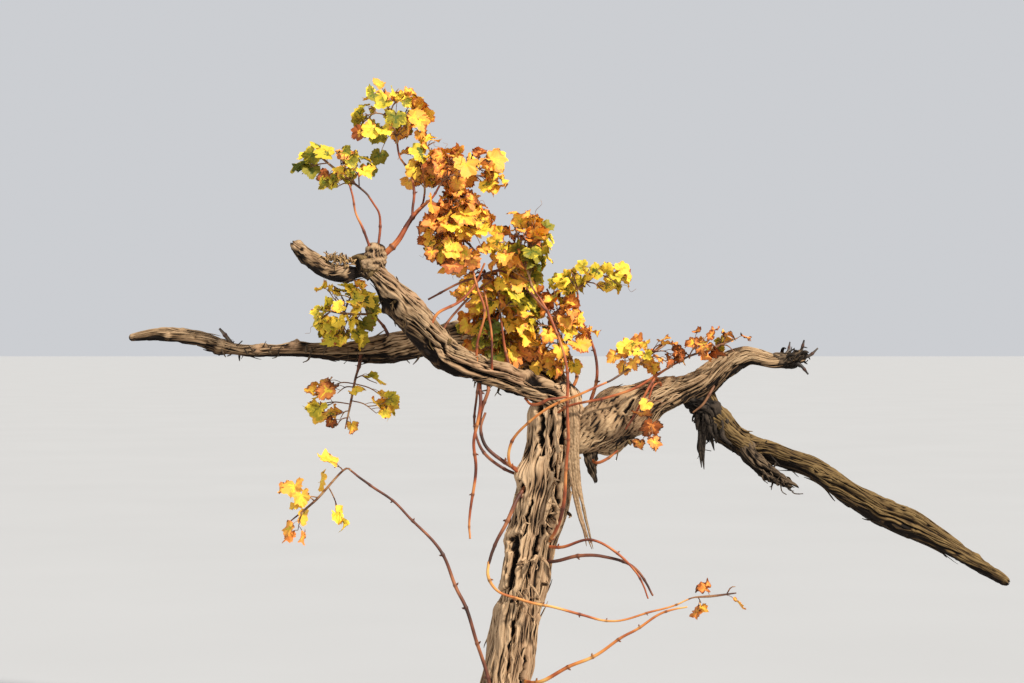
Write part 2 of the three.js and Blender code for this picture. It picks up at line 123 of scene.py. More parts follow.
class Route:
    """A smooth way through stations, with a radius all along it, as the solids follow it."""

    SAMPLES_PER_SPAN = 40

    def __init__(self, stations: Sequence[Station]) -> None:
        """Threads the way through the stations.

        Args:
            stations: Places with the limb's radius at each, in metres.
        """
        table = np.array(stations, dtype=float)
        spans = len(table) - 1
        marks = np.linspace(0, spans, spans * self.SAMPLES_PER_SPAN + 1)
        span = np.minimum(marks.astype(int), spans - 1)
        weight = (marks - span)[:, None]
        padded = np.vstack([2 * table[0] - table[1], table, 2 * table[-1] - table[-2]])
        before, start, end, after = (padded[span + shift] for shift in range(4))
        self.places = self._centripetal(before, start, end, after, weight)
        slope_in = 0.5 * (end - before)[:, 3:]
        slope_out = 0.5 * (after - start)[:, 3:]
        self.radii = self._hermite(start[:, 3:], end[:, 3:], slope_in, slope_out, weight)[:, 0]
        steps = np.linalg.norm(np.diff(self.places, axis=0), axis=1)
        self.reached = np.concatenate([[0], np.cumsum(steps)])
        self.length = float(self.reached[-1])
        self.headings = unit(np.gradient(self.places, self.reached, axis=0))

    @staticmethod
    def _hermite(
        start: np.ndarray, end: np.ndarray, slope_in: np.ndarray, slope_out: np.ndarray, weight: np.ndarray
    ) -> np.ndarray:
        """Points between two ends with a given slope at each.

        Args:
            start: Where each stretch starts.
            end: Where it ends.
            slope_in: Its slope at the start.
            slope_out: Its slope at the end.
            weight: The share of the stretch, from 0 to 1.

        Returns:
            The points.
        """
        square = weight * weight
        cube = square * weight
        return (
            start
            + slope_in * weight
            + (3 * (end - start) - 2 * slope_in - slope_out) * square
            + (2 * (start - end) + slope_in + slope_out) * cube
        )

    def _centripetal(
        self, before: np.ndarray, start: np.ndarray, end: np.ndarray, after: np.ndarray, weight: np.ndarray
    ) -> np.ndarray:
        """Places on a centripetal curve through four neighbouring stations each.

        Args:
            before: The station before each stretch.
            start: The station that the stretch starts at.
            end: The station that it ends at.
            after: The station after it.
            weight: The share of the stretch, from 0 to 1.

        Returns:
            The places.
        """
        p0, p1, p2, p3 = (row[:, :3] for row in (before, start, end, after))
        knot0, knot1, knot2 = (
            np.sqrt(np.linalg.norm(right - left, axis=1, keepdims=True))
            for left, right in ((p0, p1), (p1, p2), (p2, p3))
        )
        slope_in = (p1 - p0) / knot0 - (p2 - p0) / (knot0 + knot1) + (p2 - p1) / knot1
        slope_out = (p2 - p1) / knot1 - (p3 - p1) / (knot1 + knot2) + (p3 - p2) / knot2
        return self._hermite(p1, p2, slope_in * knot1, slope_out * knot1, weight)

    def at(self, shares: np.ndarray | float) -> tuple[np.ndarray, np.ndarray, np.ndarray]:
        """Centres, headings and radii at shares of the length.

        Args:
            shares: One share, or several, from 0 to 1.

        Returns:
            The centres, the unit headings and the radii there.
        """
        reach = np.asarray(shares, dtype=float) * self.length
        centres = np.stack([np.interp(reach, self.reached, column) for column in self.places.T], axis=-1)
        headings = np.stack([np.interp(reach, self.reached, column) for column in self.headings.T], axis=-1)
        return centres, unit(headings), np.interp(reach, self.reached, self.radii)

    def rings(self, count: int) -> "Rings":
        """Cross-sections at even steps, turned as little as the way allows.

        Args:
            count: How many steps the length is cut into.

        Returns:
            The rings, one more than the steps.
        """
        shares = np.linspace(0, 1, count + 1)
        centres, headings, radii = self.at(shares)
        smallest = 2 - int(np.argmin(np.abs(headings[0])[::-1]))
        seed = np.zeros(3)
        seed[smallest] = 1.0
        normal = np.cross(headings[0], unit(np.cross(headings[0], seed)))
        normals = [normal]
        for before, after in zip(headings[:-1], headings[1:]):
            axis = np.cross(before, after)
            sine = np.linalg.norm(axis)
            if sine > 1e-12:
                axis = axis / sine
                angle = math.atan2(sine, float(before @ after))
                normal = (
                    normal * math.cos(angle)
                    + np.cross(axis, normal) * math.sin(angle)
                    + axis * (axis @ normal) * (1 - math.cos(angle))
                )
            normals.append(normal)
        sideways = np.array(normals)
        return Rings(shares, centres, headings, sideways, np.cross(headings, sideways), radii)


@dataclass(frozen=True)
class Rings:
    """Cross-sections of a limb: where each is, and the two directions that it is drawn in."""

    shares: np.ndarray
    centres: np.ndarray
    headings: np.ndarray
    normals: np.ndarray
    binormals: np.ndarray
    radii: np.ndarray

    def round_skin(self, sides: int) -> np.ndarray:
        """Places on the skin of a plain round tube."""
        return self.skin(np.repeat(self.radii[:, None], sides, axis=1))

    def skin(self, reach: np.ndarray) -> np.ndarray:
        """Places on the limb's skin.

        Args:
            reach: How far the skin stands from the centre, one row a ring and one column a side.

        Returns:
            The places, as an array of rings by sides by three.
        """
        angles = FULL_TURN * np.arange(reach.shape[1]) / reach.shape[1]
        outward = (
            self.normals[:, None] * np.cos(angles)[None, :, None]
            + self.binormals[:, None] * np.sin(angles)[None, :, None]
        )
        return self.centres[:, None] + reach[:, :, None] * outward


class BarkGrain:
    """Smooth seeded hills on a limb's skin, with heights between -1 and 1, that close round the limb."""

    MARGIN = 2

    def __init__(self, seed: int, around: float, along: float) -> None:
        """Draws the heights.

        Args:
            seed: The seed of the draw.
            around: How many hills go round the limb.
            along: How many hills go along it.
        """
        self.around = max(3, round(around))
        self.along = max(1, round(along))
        rows = self.along + 1 + 2 * self.MARGIN
        self.heights = np.random.default_rng(seed).uniform(-1, 1, (rows, self.around))

    def at(self, turn: np.ndarray, share: np.ndarray) -> np.ndarray:
        """Heights at places on the skin.

        Args:
            turn: The place round the limb, in whole turns.
            share: The place along the limb, from 0 to 1.

        Returns:
            The heights there.
        """
        column = (turn % 1.0) * self.around
        row = np.clip(share * self.along + self.MARGIN, 0, len(self.heights) - 1.001)
        left = np.floor(column).astype(int)
        low = np.floor(row).astype(int)
        across = smooth_step(column - left)
        up = smooth_step(row - low)
        left %= self.around
        right = (left + 1) % self.around
        near = self.heights[low, left] * (1 - across) + self.heights[low, right] * across
        far = self.heights[low + 1, left] * (1 - across) + self.heights[low + 1, right] * across
        return near * (1 - up) + far * up


def blurred(values: np.ndarray, ring_window: int, side_window: int) -> np.ndarray:
    """A limb's heights averaged over a window, which closes round the limb.

    Args:
        values: Heights, one row a ring and one column a side.
        ring_window: Half the window's length, in rings.
        side_window: Half the window's width, in sides.

    Returns:
        The averaged heights.
    """
    wide = np.concatenate([values[:, -side_window:], values, values[:, :side_window]], axis=1)
    sums = np.cumsum(np.pad(wide, ((0, 0), (1, 0))), axis=1)
    window = 2 * side_window + 1
    flat = (sums[:, window:] - sums[:, :-window]) / window
    tall = np.pad(flat, ((ring_window, ring_window), (0, 0)), mode="edge")
    sums = np.cumsum(np.pad(tall, ((1, 0), (0, 0))), axis=0)
    window = 2 * ring_window + 1
    return (sums[window:] - sums[:-window]) / window


class Shell:
    """Gathers points and faces, and turns them into one piece of the vine."""

    def __init__(self) -> None:
        """Starts empty."""
        self.points: list[np.ndarray] = []
        self.faces: list[np.ndarray] = []
        self.finishes: list[np.ndarray] = []
        self.maps: list[np.ndarray] = []
        self.marks: dict[str, list[np.ndarray]] = {}
        self.count = 0

    def add(
        self,
        points: np.ndarray,
        faces: Sequence[np.ndarray],
        finishes: Sequence[int | np.ndarray] = (),
        maps: Sequence[np.ndarray] = (),
        **marks: np.ndarray,
    ) -> None:
        """Adds one surface.

        Args:
            points: Its places.
            faces: Arrays of triangles or of four-sided faces, by the points' own numbers.
            finishes: The material's number for each array of faces, or one number a face.
            maps: The place on the bake map of each corner, for each array of faces.
            marks: Named values of the points, which the materials read.
        """
        self.points.append(np.asarray(points, dtype=float).reshape(-1, 3))
        for index, group in enumerate(faces):
            self.faces.append(np.asarray(group, dtype=int) + self.count)
            finish = finishes[index] if len(finishes) else 0
            self.finishes.append(np.broadcast_to(np.asarray(finish, dtype=int), (len(group),)))
        self.maps.extend(np.asarray(group, dtype=float).reshape(-1, 2) for group in maps)
        for name, values in marks.items():
            self.marks.setdefault(name, []).append(np.asarray(values, dtype=float))
        self.count += len(self.points[-1])

    def piece(self, name: str, materials: Sequence[bpy.types.Material]) -> bpy.types.Object:
        """Builds the piece.

        Args:
            name: Its name.
            materials: Its materials, in the order that the finishes number them.

        Returns:
            The new object, linked into the scene.
        """
        mesh = bpy.data.meshes.new(name)
        points = np.concatenate(self.points)
        corners = np.concatenate([group.ravel() for group in self.faces])
        totals = np.concatenate([np.full(len(group), group.shape[1]) for group in self.faces])
        mesh.vertices.add(len(points))
        mesh.vertices.foreach_set("co", points.ravel())
        mesh.loops.add(len(corners))
        mesh.loops.foreach_set("vertex_index", corners)
        mesh.polygons.add(len(totals))
        mesh.polygons.foreach_set("loop_start", np.concatenate([[0], np.cumsum(totals)[:-1]]))
        for material in materials:
            mesh.materials.append(material)
        mesh.polygons.foreach_set("material_index", np.concatenate(self.finishes))
        mesh.polygons.foreach_set("use_smooth", np.ones(len(totals), dtype=bool))
        for label, values in self.marks.items():
            stacked = np.concatenate(values)
            kind, key = ("FLOAT", "value") if stacked.ndim == 1 else ("FLOAT_VECTOR", "vector")
            mesh.attributes.new(label, kind, "POINT").data.foreach_set(key, stacked.ravel())
        if self.maps:
            layer = mesh.uv_layers.new(name=BAKE_MAP)
            layer.uv.foreach_set("vector", np.concatenate(self.maps).ravel())
        mesh.update(calc_edges=True)
        mesh.validate()
        made = bpy.data.objects.new(name, mesh)
        bpy.context.scene.collection.objects.link(made)
        return made


def ring_faces(rings: int, sides: int) -> np.ndarray:
    """The four-sided faces of a tube whose points run ring by ring.

    Args:
        rings: How many rings of points it has.
        sides: How many points each ring has.

    Returns:
        The faces, facing outwards.
    """
    ring = np.arange(rings - 1)[:, None] * sides
    side = np.arange(sides)[None, :]
    after = (side + 1) % sides
    corners = (ring + side, ring + after, ring + sides + after, ring + sides + side)
    return np.stack([np.broadcast_to(corner, (rings - 1, sides)) for corner in corners], -1).reshape(-1, 4)


def cap_faces(rings: int, sides: int) -> np.ndarray:
    """The fans that close a tube's two ends, round two middle points that follow the rings' points.

    Args:
        rings: How many rings of points the tube has.
        sides: How many points each ring has.

    Returns:
        The faces, facing outwards.
    """
    side = np.arange(sides)
    after = (side + 1) % sides
    last = (rings - 1) * sides
    start = np.stack([after, side, np.full(sides, rings * sides)], -1)
    end = np.stack([last + side, last + after, np.full(sides, rings * sides + 1)], -1)
    return np.concatenate([start, end])


@dataclass(frozen=True)
class MapCell:
    """A tube's own part of the bake map: its sides below, and its two caps as circles above them."""

    left: float = 0.0
    low: float = 0.0
    width: float = 1.0
    height: float = 1.0
    sides_share: float = 0.94
    cap_radius: float = 0.02
    cap_places: tuple[Span, Span] = ((0.05, 0.97), (0.15, 0.97))

    def tube(self, rings: int, sides: int) -> list[np.ndarray]:
        """Where a tube's sides and its two caps lie on the bake map.

        Args:
            rings: How many rings of points the tube has.
            sides: How many points each ring has.

        Returns:
            The places of the sides' corners, and those of the caps' corners.
        """
        side = np.arange(sides) / sides
        after = (np.arange(sides) + 1) / sides
        low = self.sides_share * np.arange(rings - 1) / (rings - 1)
        high = self.sides_share * np.arange(1, rings) / (rings - 1)
        corners = [(side, low), (after, low), (after, high), (side, high)]
        grid = [np.stack(np.broadcast_arrays(u[None, :], v[:, None]), -1) for u, v in corners]
        circle = self.cap_radius * np.stack([np.cos(FULL_TURN * side), np.sin(FULL_TURN * side)], -1)
        following = np.roll(circle, -1, axis=0)
        fans = ((following, circle), (circle, following))
        caps = [
            np.stack([*fan, np.zeros_like(circle)], 1).reshape(-1, 2) + place
            for fan, place in zip(fans, self.cap_places)
        ]
        parts = (np.stack(grid, 2).reshape(-1, 2), np.concatenate(caps))
        return [part * [self.width, self.height] + [self.left, self.low] for part in parts]


def at_ends(values: np.ndarray) -> np.ndarray:
    """The first and the last of a tube's values, for the middles of its two caps."""
    return values[[0, -1], [0, -1]]


def add_loft(
    shell: Shell, skin: np.ndarray, ends: np.ndarray, cell: MapCell | None = None,
    **marks: tuple[np.ndarray, Sequence],
) -> None:
    """Adds a closed tube to a shell.

    Args:
        shell: What it is added to.
        skin: Its places, as an array of rings by sides by three.
        ends: The middles of its first and its last cap.
        cell: Its part of the bake map, where the piece has one.
        marks: Named values of the skin's places, each with the values of the caps' middles.
    """
    rings, sides = skin.shape[:2]
    stacked = {
        name: np.concatenate([values.reshape(-1, *values.shape[2:]), np.asarray(capped)])
        for name, (values, capped) in marks.items()
    }
    faces = [ring_faces(rings, sides), cap_faces(rings, sides)]
    maps = cell.tube(rings, sides) if cell else ()
    shell.add(np.vstack([skin.reshape(-1, 3), ends]), faces, maps=maps, **stacked)


def add_round(shell: Shell, rings: Rings, sides: int, joint: float, stretch: float) -> None:
    """Adds a plain round tube to a shell, with the marks that a cane's skin reads.

    Args:
        shell: What it is added to.
        rings: Its cross-sections.
        sides: How many sides it has.
        joint: How dark it is, as at a cane's joint.
        stretch: How much of its height tells in its pattern.
    """
    skin, ends, scale = rings.round_skin(sides), rings.centres[[0, -1]], [1, 1, stretch]
    joints = np.full(skin.shape[:2], joint)
    add_loft(shell, skin, ends, joint=(joints, at_ends(joints)), grain=(skin * scale, ends * scale))


def add_twig(shell: Shell, route: Route, sides: int, step: float) -> None:
    """Adds a plain tapering twig to a shell, with rings at about a given step along its way."""
    add_round(shell, route.rings(max(2, math.ceil(route.length / step))), sides, 0.0, 0.3)


def finished(made: bpy.types.Object, slot: str, nodes: Sequence[str] = ()) -> None:
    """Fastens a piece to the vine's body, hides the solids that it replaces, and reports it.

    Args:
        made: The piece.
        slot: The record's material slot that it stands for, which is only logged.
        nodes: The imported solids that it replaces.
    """
    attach(made, BODY)
    if nodes:
        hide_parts(*nodes)
    log.info("%-28s %7d faces, slot %s", made.name, len(made.data.polygons), slot)


@dataclass(frozen=True)
class Surface:
    """How rough and shiny a skin is, and how a fine pattern roughens and raises it."""

    smoothest: float
    rough_swing: float
    specular: float
    bump: float
    bump_height: float


class NodeSheet:
    """A new material and its nodes."""

    MIX_FACTOR = 0
    MIX_COLOURS = (6, 7)
    MIX_RESULT = 2

    def __init__(self, name: str) -> None:
        """Makes the material, with its shader and its output.

        Args:
            name: The material's name.
        """
        self.material = bpy.data.materials.new(name)
        self.material.use_nodes = True
        self.tree = self.material.node_tree
        self.shader = self.tree.nodes["Principled BSDF"]

    def node(self, kind: str, settings: dict | None = None, **values: object) -> bpy.types.Node:
        """Adds a node.

        Args:
            kind: Blender's name for the kind of node.
            settings: Its own settings.
            values: Its inputs by name, with _ for a space, each a value or another node's output.

        Returns:
            The new node.
        """
        made = self.tree.nodes.new(kind)
        for key, value in (settings or {}).items():
            setattr(made, key, value)
        for key, value in values.items():
            self.feed(made.inputs[key.replace("_", " ")], value)
        return made

    def feed(self, socket: bpy.types.NodeSocket, value: object) -> None:
        """Sets an input to a value, or links another node's output to it.

        Args:
            socket: The input.
            value: The value, or the other node's output.
        """
        if isinstance(value, bpy.types.NodeSocket):
            self.tree.links.new(value, socket)
        else:
            socket.default_value = value

    def mark(self, name: str, output: str = "Fac") -> bpy.types.NodeSocket:
        """The value of a mark that the mesh's points carry."""
        return self.node("ShaderNodeAttribute", {"attribute_name": name}).outputs[output]

    def maths(self, operation: str, *terms: object) -> bpy.types.NodeSocket:
        """The outcome of a sum of two or three terms.

        Args:
            operation: The name of the sum.
            terms: Values or outputs of nodes.

        Returns:
            The output that holds the outcome.
        """
        made = self.node("ShaderNodeMath", {"operation": operation})
        for socket, term in zip(made.inputs, terms):
            self.feed(socket, term)
        return made.outputs[0]

    def noise(self, place: bpy.types.NodeSocket, scale: float, detail: float) -> bpy.types.NodeSocket:
        """A cloudy pattern from 0 to 1."""
        return self.node("ShaderNodeTexNoise", Vector=place, Scale=scale, Detail=detail).outputs["Fac"]

    def ramp(
        self, factor: bpy.types.NodeSocket, stops: Sequence[tuple[float, Colour]]
    ) -> bpy.types.NodeSocket:
        """A colour that changes with a factor.

        Args:
            factor: The factor.
            stops: Positions and their colours, from low to high.

        Returns:
            The colour.
        """
        made = self.node("ShaderNodeValToRGB", Fac=factor)
        elements = made.color_ramp.elements
        while len(elements) < len(stops):
            elements.new(0.5)
        for element, (position, colour) in zip(elements, stops):
            element.position = position
            element.color = (*colour, 1.0)
        return made.outputs["Color"]

    def mix(
        self, factor: object, first: object, second: object, blend: str = "MIX"
    ) -> bpy.types.NodeSocket:
        """Two colours mixed.

        Args:
            factor: How much of the second.
            first: The first colour.
            second: The second colour.
            blend: How they are mixed.

        Returns:
            The mixed colour.
        """
        made = self.node("ShaderNodeMix", {"data_type": "RGBA", "blend_type": blend})
        self.feed(made.inputs[self.MIX_FACTOR], factor)
        for number, colour in zip(self.MIX_COLOURS, (first, second)):
            self.feed(made.inputs[number], (*colour, 1.0) if isinstance(colour, tuple) else colour)
        return made.outputs[self.MIX_RESULT]

    def finish(self, colour: object, pattern: bpy.types.NodeSocket, surface: Surface) -> bpy.types.Material:
        """Gives the shader its colour and its surface.

        Args:
            colour: The colour with its alpha, or another node's output.
            pattern: The fine pattern that roughens and raises the surface.
            surface: How rough, shiny and bumpy it is.

        Returns:
            The finished material.
        """
        settings = {"Height": pattern, "Strength": surface.bump, "Distance": surface.bump_height}
        rough = self.maths("MULTIPLY_ADD", pattern, surface.rough_swing, surface.smoothest)
        inputs = self.shader.inputs
        self.feed(inputs["Base Color"], colour)
        self.feed(inputs["Roughness"], rough)
        self.feed(inputs["Normal"], self.node("ShaderNodeBump", **settings).outputs["Normal"])
        inputs["Specular IOR Level"].default_value = surface.specular
        return self.material


@dataclass(frozen=True)
class BarkFinish:
    """Old vine bark: painted shade near black in its furrows and brown on their sides, and weathered grey-tan
    on its strips.
    """

    name: str
    side: Colour = (0.075, 0.04, 0.019)
    strip: Colour = (0.29, 0.178, 0.092)
    weathered: Colour = (0.57, 0.385, 0.223)
    furrow: Colour = (0.008, 0.0042, 0.0022)
    stops: tuple[float, ...] = (0.12, 0.25, 0.44, 0.85)
    crest_weight: float = 0.85
    fibre_scale: float = 260.0
    streak_scale: float = 65.0
    streak_weight: float = 0.3
    level_shift: float = -0.67
    patch: Colour = (0.15, 0.075, 0.038)
    patch_share: float = 0.45
    patch_scale: float = 26.0
    patch_edge: Span = (0.48, 0.62)
    surface: Surface = Surface(0.86, 0.12, 0.25, 0.8, 0.002)

    def material(self) -> bpy.types.Material:
        """Makes the material from the marks crest and grain that the bark carries.

        Returns:
            The new material.
        """
        sheet = NodeSheet(self.name)
        grain = sheet.mark("grain", "Vector")
        fibres = sheet.noise(grain, self.fibre_scale, 5.0)
        streaks = sheet.noise(grain, self.streak_scale, 3.0)
        level = sheet.maths("MULTIPLY_ADD", sheet.mark("crest"), self.crest_weight, fibres)
        streaked = sheet.maths("MULTIPLY_ADD", streaks, self.streak_weight, self.level_shift)
        # The furrow and side colours are painted shade, laid where the crest mark is low; strip and weathered
        # are the bark's own tones.
        colours = (self.furrow, self.side, self.strip, self.weathered)
        colour = sheet.ramp(sheet.maths("ADD", level, streaked), tuple(zip(self.stops, colours)))
        patches = sheet.noise(grain, self.patch_scale, 3.0)
        where = sheet.ramp(patches, tuple(zip(self.patch_edge, ((0, 0, 0), (1, 1, 1)))))
        share = sheet.maths("MULTIPLY", where, self.patch_share)
        tint = tuple(min(1.0, patch / strip) for patch, strip in zip(self.patch, self.strip))
        tinted = sheet.mix(1.0, colour, sheet.mix(share, (1.0, 1.0, 1.0), tint), "MULTIPLY")
        return sheet.finish(tinted, fibres, self.surface)


@dataclass(frozen=True)
class CaneFinish:
    """Cane skin: striped lengthwise, darker at its joints, and paler where the sun has bleached it."""

    name: str
    deep: Colour
    skin: Colour
    bleached: Colour
    joint: Colour = (0.075, 0.022, 0.01)
    stops: tuple[float, ...] = (0.22, 0.48, 0.8)
    stripe_scale: float = 420.0
    stripe_weight: float = 0.5
    patch_scale: float = 60.0
    patch_stretch: Place = (0.2, 0.2, 4.0)
    patch_weight: float = 2.2
    level_shift: float = -0.87
    surface: Surface = Surface(0.48, 0.2, 0.4, 0.35, 0.0006)

    def material(self) -> bpy.types.Material:
        """Makes the material from the marks joint and grain that the canes carry.

        Returns:
            The new material.
        """
        sheet = NodeSheet(self.name)
        grain = sheet.mark("grain", "Vector")
        stripes = sheet.noise(grain, self.stripe_scale, 3.0)
        stretched = sheet.node("ShaderNodeMapping", Vector=grain, Scale=self.patch_stretch).outputs[0]
        patches = sheet.noise(stretched, self.patch_scale, 2.0)
        patched = sheet.maths("MULTIPLY_ADD", patches, self.patch_weight, self.level_shift)
        level = sheet.maths("MULTIPLY_ADD", stripes, self.stripe_weight, patched)
        colour = sheet.ramp(level, tuple(zip(self.stops, (self.deep, self.skin, self.bleached))))
        return sheet.finish(sheet.mix(sheet.mark("joint"), colour, self.joint), stripes, self.surface)


@dataclass(frozen=True)
class LeafFinish:
    """One autumn tint of the leaves: a plain colour on a matt, finely crinkled skin."""

    tint: Tint
    colour: Colour
    crinkle_scale: float = 190.0
    surface: Surface = Surface(0.5, 0.25, 0.3, 0.5, 0.0012)

    @property
    def name(self) -> str:
        """The finish's name."""
        return f"leaf_{self.tint.name.lower()}"

    def material(self) -> bpy.types.Material:
        """Makes the material, with its crinkles from the piece's own coordinates.

        Returns:
            The new material.
        """
        sheet = NodeSheet(self.name)
        place = sheet.node("ShaderNodeTexCoord").outputs["Object"]
        crinkles = sheet.noise(place, self.crinkle_scale, 3.0)
        return sheet.finish((*self.colour, 1.0), crinkles, self.surface)


LEAF_FINISHES = (
    LeafFinish(Tint.GREEN, (0.1, 0.12, 0.01)),
    LeafFinish(Tint.OLIVE, (0.24, 0.2, 0.014)),
    LeafFinish(Tint.LIME, (0.55, 0.42, 0.026)),
    LeafFinish(Tint.LEMON, (0.93, 0.63, 0.05)),
    LeafFinish(Tint.GOLD, (0.9, 0.5, 0.05)),
    LeafFinish(Tint.AMBER, (0.86, 0.39, 0.055)),
    LeafFinish(Tint.ORANGE, (0.74, 0.25, 0.05)),
    LeafFinish(Tint.RUST, (0.34, 0.085, 0.015)),
    LeafFinish(Tint.BROWN, (0.1, 0.035, 0.009)),
)


@dataclass(frozen=True)
class BarkCut:
    """How finely one kind of limb is cut, and the sizes of its strands, strips, fibres and peelings."""

    sides: int
    step: float
    strands: int
    strand_depth: float
    twist: float
    gnarl: float
    strand_furrow: float
    strip_width: float
    strip_length: float
    strip_depth: float
    fibre_depth: float
    peel_density: float
    peel_width: Span
    peel_length: Span


BARK_CUTS = {
    LimbKind.TRUNK: BarkCut(
        sides=300, step=0.0046, strands=3, strand_depth=0.12, twist=4.2, gnarl=0.05, strand_furrow=0.009,
        strip_width=0.0085, strip_length=0.3, strip_depth=0.0064, fibre_depth=0.0024,
        peel_density=460, peel_width=(0.003, 0.009), peel_length=(0.06, 0.22)),
    LimbKind.HEAD: BarkCut(
        sides=300, step=0.0034, strands=2, strand_depth=0.1, twist=6.0, gnarl=0.07, strand_furrow=0.006,
        strip_width=0.0056, strip_length=0.07, strip_depth=0.0064, fibre_depth=0.0024,
        peel_density=420, peel_width=(0.003, 0.008), peel_length=(0.03, 0.1)),
    LimbKind.ARM: BarkCut(
        sides=190, step=0.0036, strands=2, strand_depth=0.1, twist=6.0, gnarl=0.07, strand_furrow=0.010,
        strip_width=0.0054, strip_length=0.09, strip_depth=0.0066, fibre_depth=0.0024,
        peel_density=520, peel_width=(0.003, 0.008), peel_length=(0.04, 0.15)),
    LimbKind.SPUR: BarkCut(
        sides=120, step=0.0028, strands=2, strand_depth=0.08, twist=3.0, gnarl=0.06, strand_furrow=0.004,
        strip_width=0.0048, strip_length=0.045, strip_depth=0.0075, fibre_depth=0.003,
        peel_density=600, peel_width=(0.003, 0.006), peel_length=(0.02, 0.06)),
}
LUMPS = ((2, 17), (3, -29))


@dataclass(frozen=True)
class Hills:
    """One draw of hills: its number, and a hill's width and length, in metres or as shares of a strip's."""

    draw: int
    width: float
    length: float
    of_strip: bool = False


class Grain(Enum):
    """The draws of hills that the bark is cut by."""

    SWAY = Hills(1, 0.05, 0.11)
    WANDER = Hills(2, 0.018, 0.035)
    STRIPS = Hills(3, 1.0, 1.0, True)
    LAYERS = Hills(4, 2.2, 0.35, True)
    NARROW = Hills(5, 0.55, 0.35, True)
    FIBRES = Hills(6, 0.35, 0.2, True)
    PATCHES = Hills(7, 0.06, 0.09)
    GNARL = Hills(8, 0.06, 0.045)
    TEETH = Hills(9, 0.01, 1.0)
    DEPTHS = Hills(10, 0.05, 0.1)
    BENDS = Hills(11, 0.02, 0.02)
    DASHES = Hills(12, 0.0028, 0.013)
    FLAKES = Hills(13, 0.003, 0.010)
    STEPS = Hills(14, 0.015, 0.03)
    SLABS = Hills(15, 0.008, 0.02)
    RAGGED = Hills(16, 0.009, 0.035)


@dataclass(frozen=True)
class StripRule:
    """How far each draw of hills tells in long strips of bark."""

    sway: float = 0.009
    wander: float = 0.0034
    strip_edge: float = 0.3
    strip_level: float = 0.85
    layer_edge: float = 12.0
    layer_share: float = 0.2
    narrow_edge: float = 0.45
    narrow_level: float = 0.75
    fibre_share: float = 0.3
    patch_least: float = 0.6
    patch_gain: float = 0.6
    patch_swing: float = 0.9
    valley_least: float = 0.25
    valley_gain: float = 0.75
    valley_width: float = 0.06


@dataclass(frozen=True)
class CrackleRule:
    """How far each draw of hills tells where the bark is short, slanting dashes, flakes and slabs."""

    bend: float = 0.02
    slant: float = 0.9
    step: float = 0.02
    dash_from: float = 0.22
    dash_edge: float = 0.3
    dash_depth: float = 0.0028
    flake_edge: float = 0.5
    flake_level: float = 0.6
    flake_share: float = 0.6
    slab_depth: float = 0.001
    fade: float = 0.16
    smoothing: float = 0.82


@dataclass(frozen=True)
class KnotRule:
    """How old knots are dealt out on a limb and sized."""

    band: Span = (0.06, 0.94)
    radius_share: Span = (0.6, 1.0)
    radii: Span = (0.010, 0.026)
    height_swing: Span = (0.7, 1.3)
    rotted: float = 0.5
    rot_radius: float = 0.36
    rot_depth: float = 0.6


@dataclass(frozen=True)
class PeelRule:
    """How the loose strips of bark lie on a limb, and the section that each has."""

    first: float = 0.01
    first_on_trunk: float = 0.1
    last: float = 0.97
    longest: float = 0.6
    fewest_points: int = 6
    point_gap: float = 0.006
    tip_width: float = 0.05
    sway: float = 0.012
    sway_turns: Span = (0.4, 1.6)
    loose_draws: tuple[float, ...] = (0.0, 0.0, 0.0, 1.0)
    looseness: Span = (0.002, 0.010)
    lift: float = 0.0012
    lifted_from: float = 0.65
    lift_length: float = 0.35
    across: tuple[float, ...] = (-1.0, -0.45, 0.45, 1.0, 0.5, -0.5)
    raised: tuple[float, ...] = (0.0, 0.0011, 0.0011, 0.0, -0.0022, -0.0022)
    # Across the strip its top is light, and its two underside points are near black, which is painted shade.
    crest: tuple[float, ...] = (0.5, 0.92, 0.85, 0.45, 0.05, 0.05)
    thick_from: float = 0.004
    end_crests: Span = (0.3, 0.3)
    pattern_gap: float = 7.3
    map_low: float = 0.74
    map_height: float = 0.26
    map_share: float = 0.9


STRIP_RULE = StripRule()
CRACKLE_RULE = CrackleRule()
KNOT_RULE = KnotRule()
PEEL_RULE = PeelRule()


@dataclass(frozen=True)
class RootFlare:
    """How the trunk spreads at its foot."""

    spread: float = 0.5
    height: float = 0.08
    buttresses: int = 5
    buttress_depth: float = 0.2

    def at(self, angle: np.ndarray, height: np.ndarray) -> np.ndarray:
        """The extra reach of the trunk's skin, as a share of its radius."""
        closeness = np.exp(-np.maximum(height, 0) / self.height)
        return closeness * (self.spread + self.buttress_depth * np.sin(self.buttresses * angle))


@dataclass(frozen=True)
class Burl:
    """A swelling of the wood, or a dent where its height is below zero."""

    centre: Place
    radius: float
    height: float

    def lift(self, skin: np.ndarray) -> np.ndarray:
        """How far it lifts the skin at each place."""
        distance = np.linalg.norm(skin - np.array(self.centre), axis=-1)
        return self.height * np.exp(-((distance / self.radius) ** 2))


@dataclass(frozen=True)
class Hollow:
    """A long rotted-out hollow in the wood, with a raised lip."""

    start: Place
    end: Place
    half_width: float
    depth: float
    lip: float = 0.004
    lip_at: float = 1.25
    lip_width: float = 0.25

    def lift(self, skin: np.ndarray) -> np.ndarray:
        """How far it sinks the skin at each place, with the lip round it raised.

        Args:
            skin: The places on the skin.

        Returns:
            The heights there, below zero in the hollow.
        """
        start, end = np.array(self.start), np.array(self.end)
        middle = (start + end) / 2
        axis = unit(end - start)
        half_length = np.linalg.norm(end - start) / 2
        offset = skin - middle
        lengthwise = offset @ axis
        sideways = np.linalg.norm(offset - lengthwise[..., None] * axis, axis=-1)
        rim = np.sqrt((lengthwise / half_length) ** 2 + (sideways / self.half_width) ** 2)
        raised = self.lip * np.exp(-(((rim - self.lip_at) / self.lip_width) ** 2))
        return raised - self.depth * np.exp(-(rim**4))


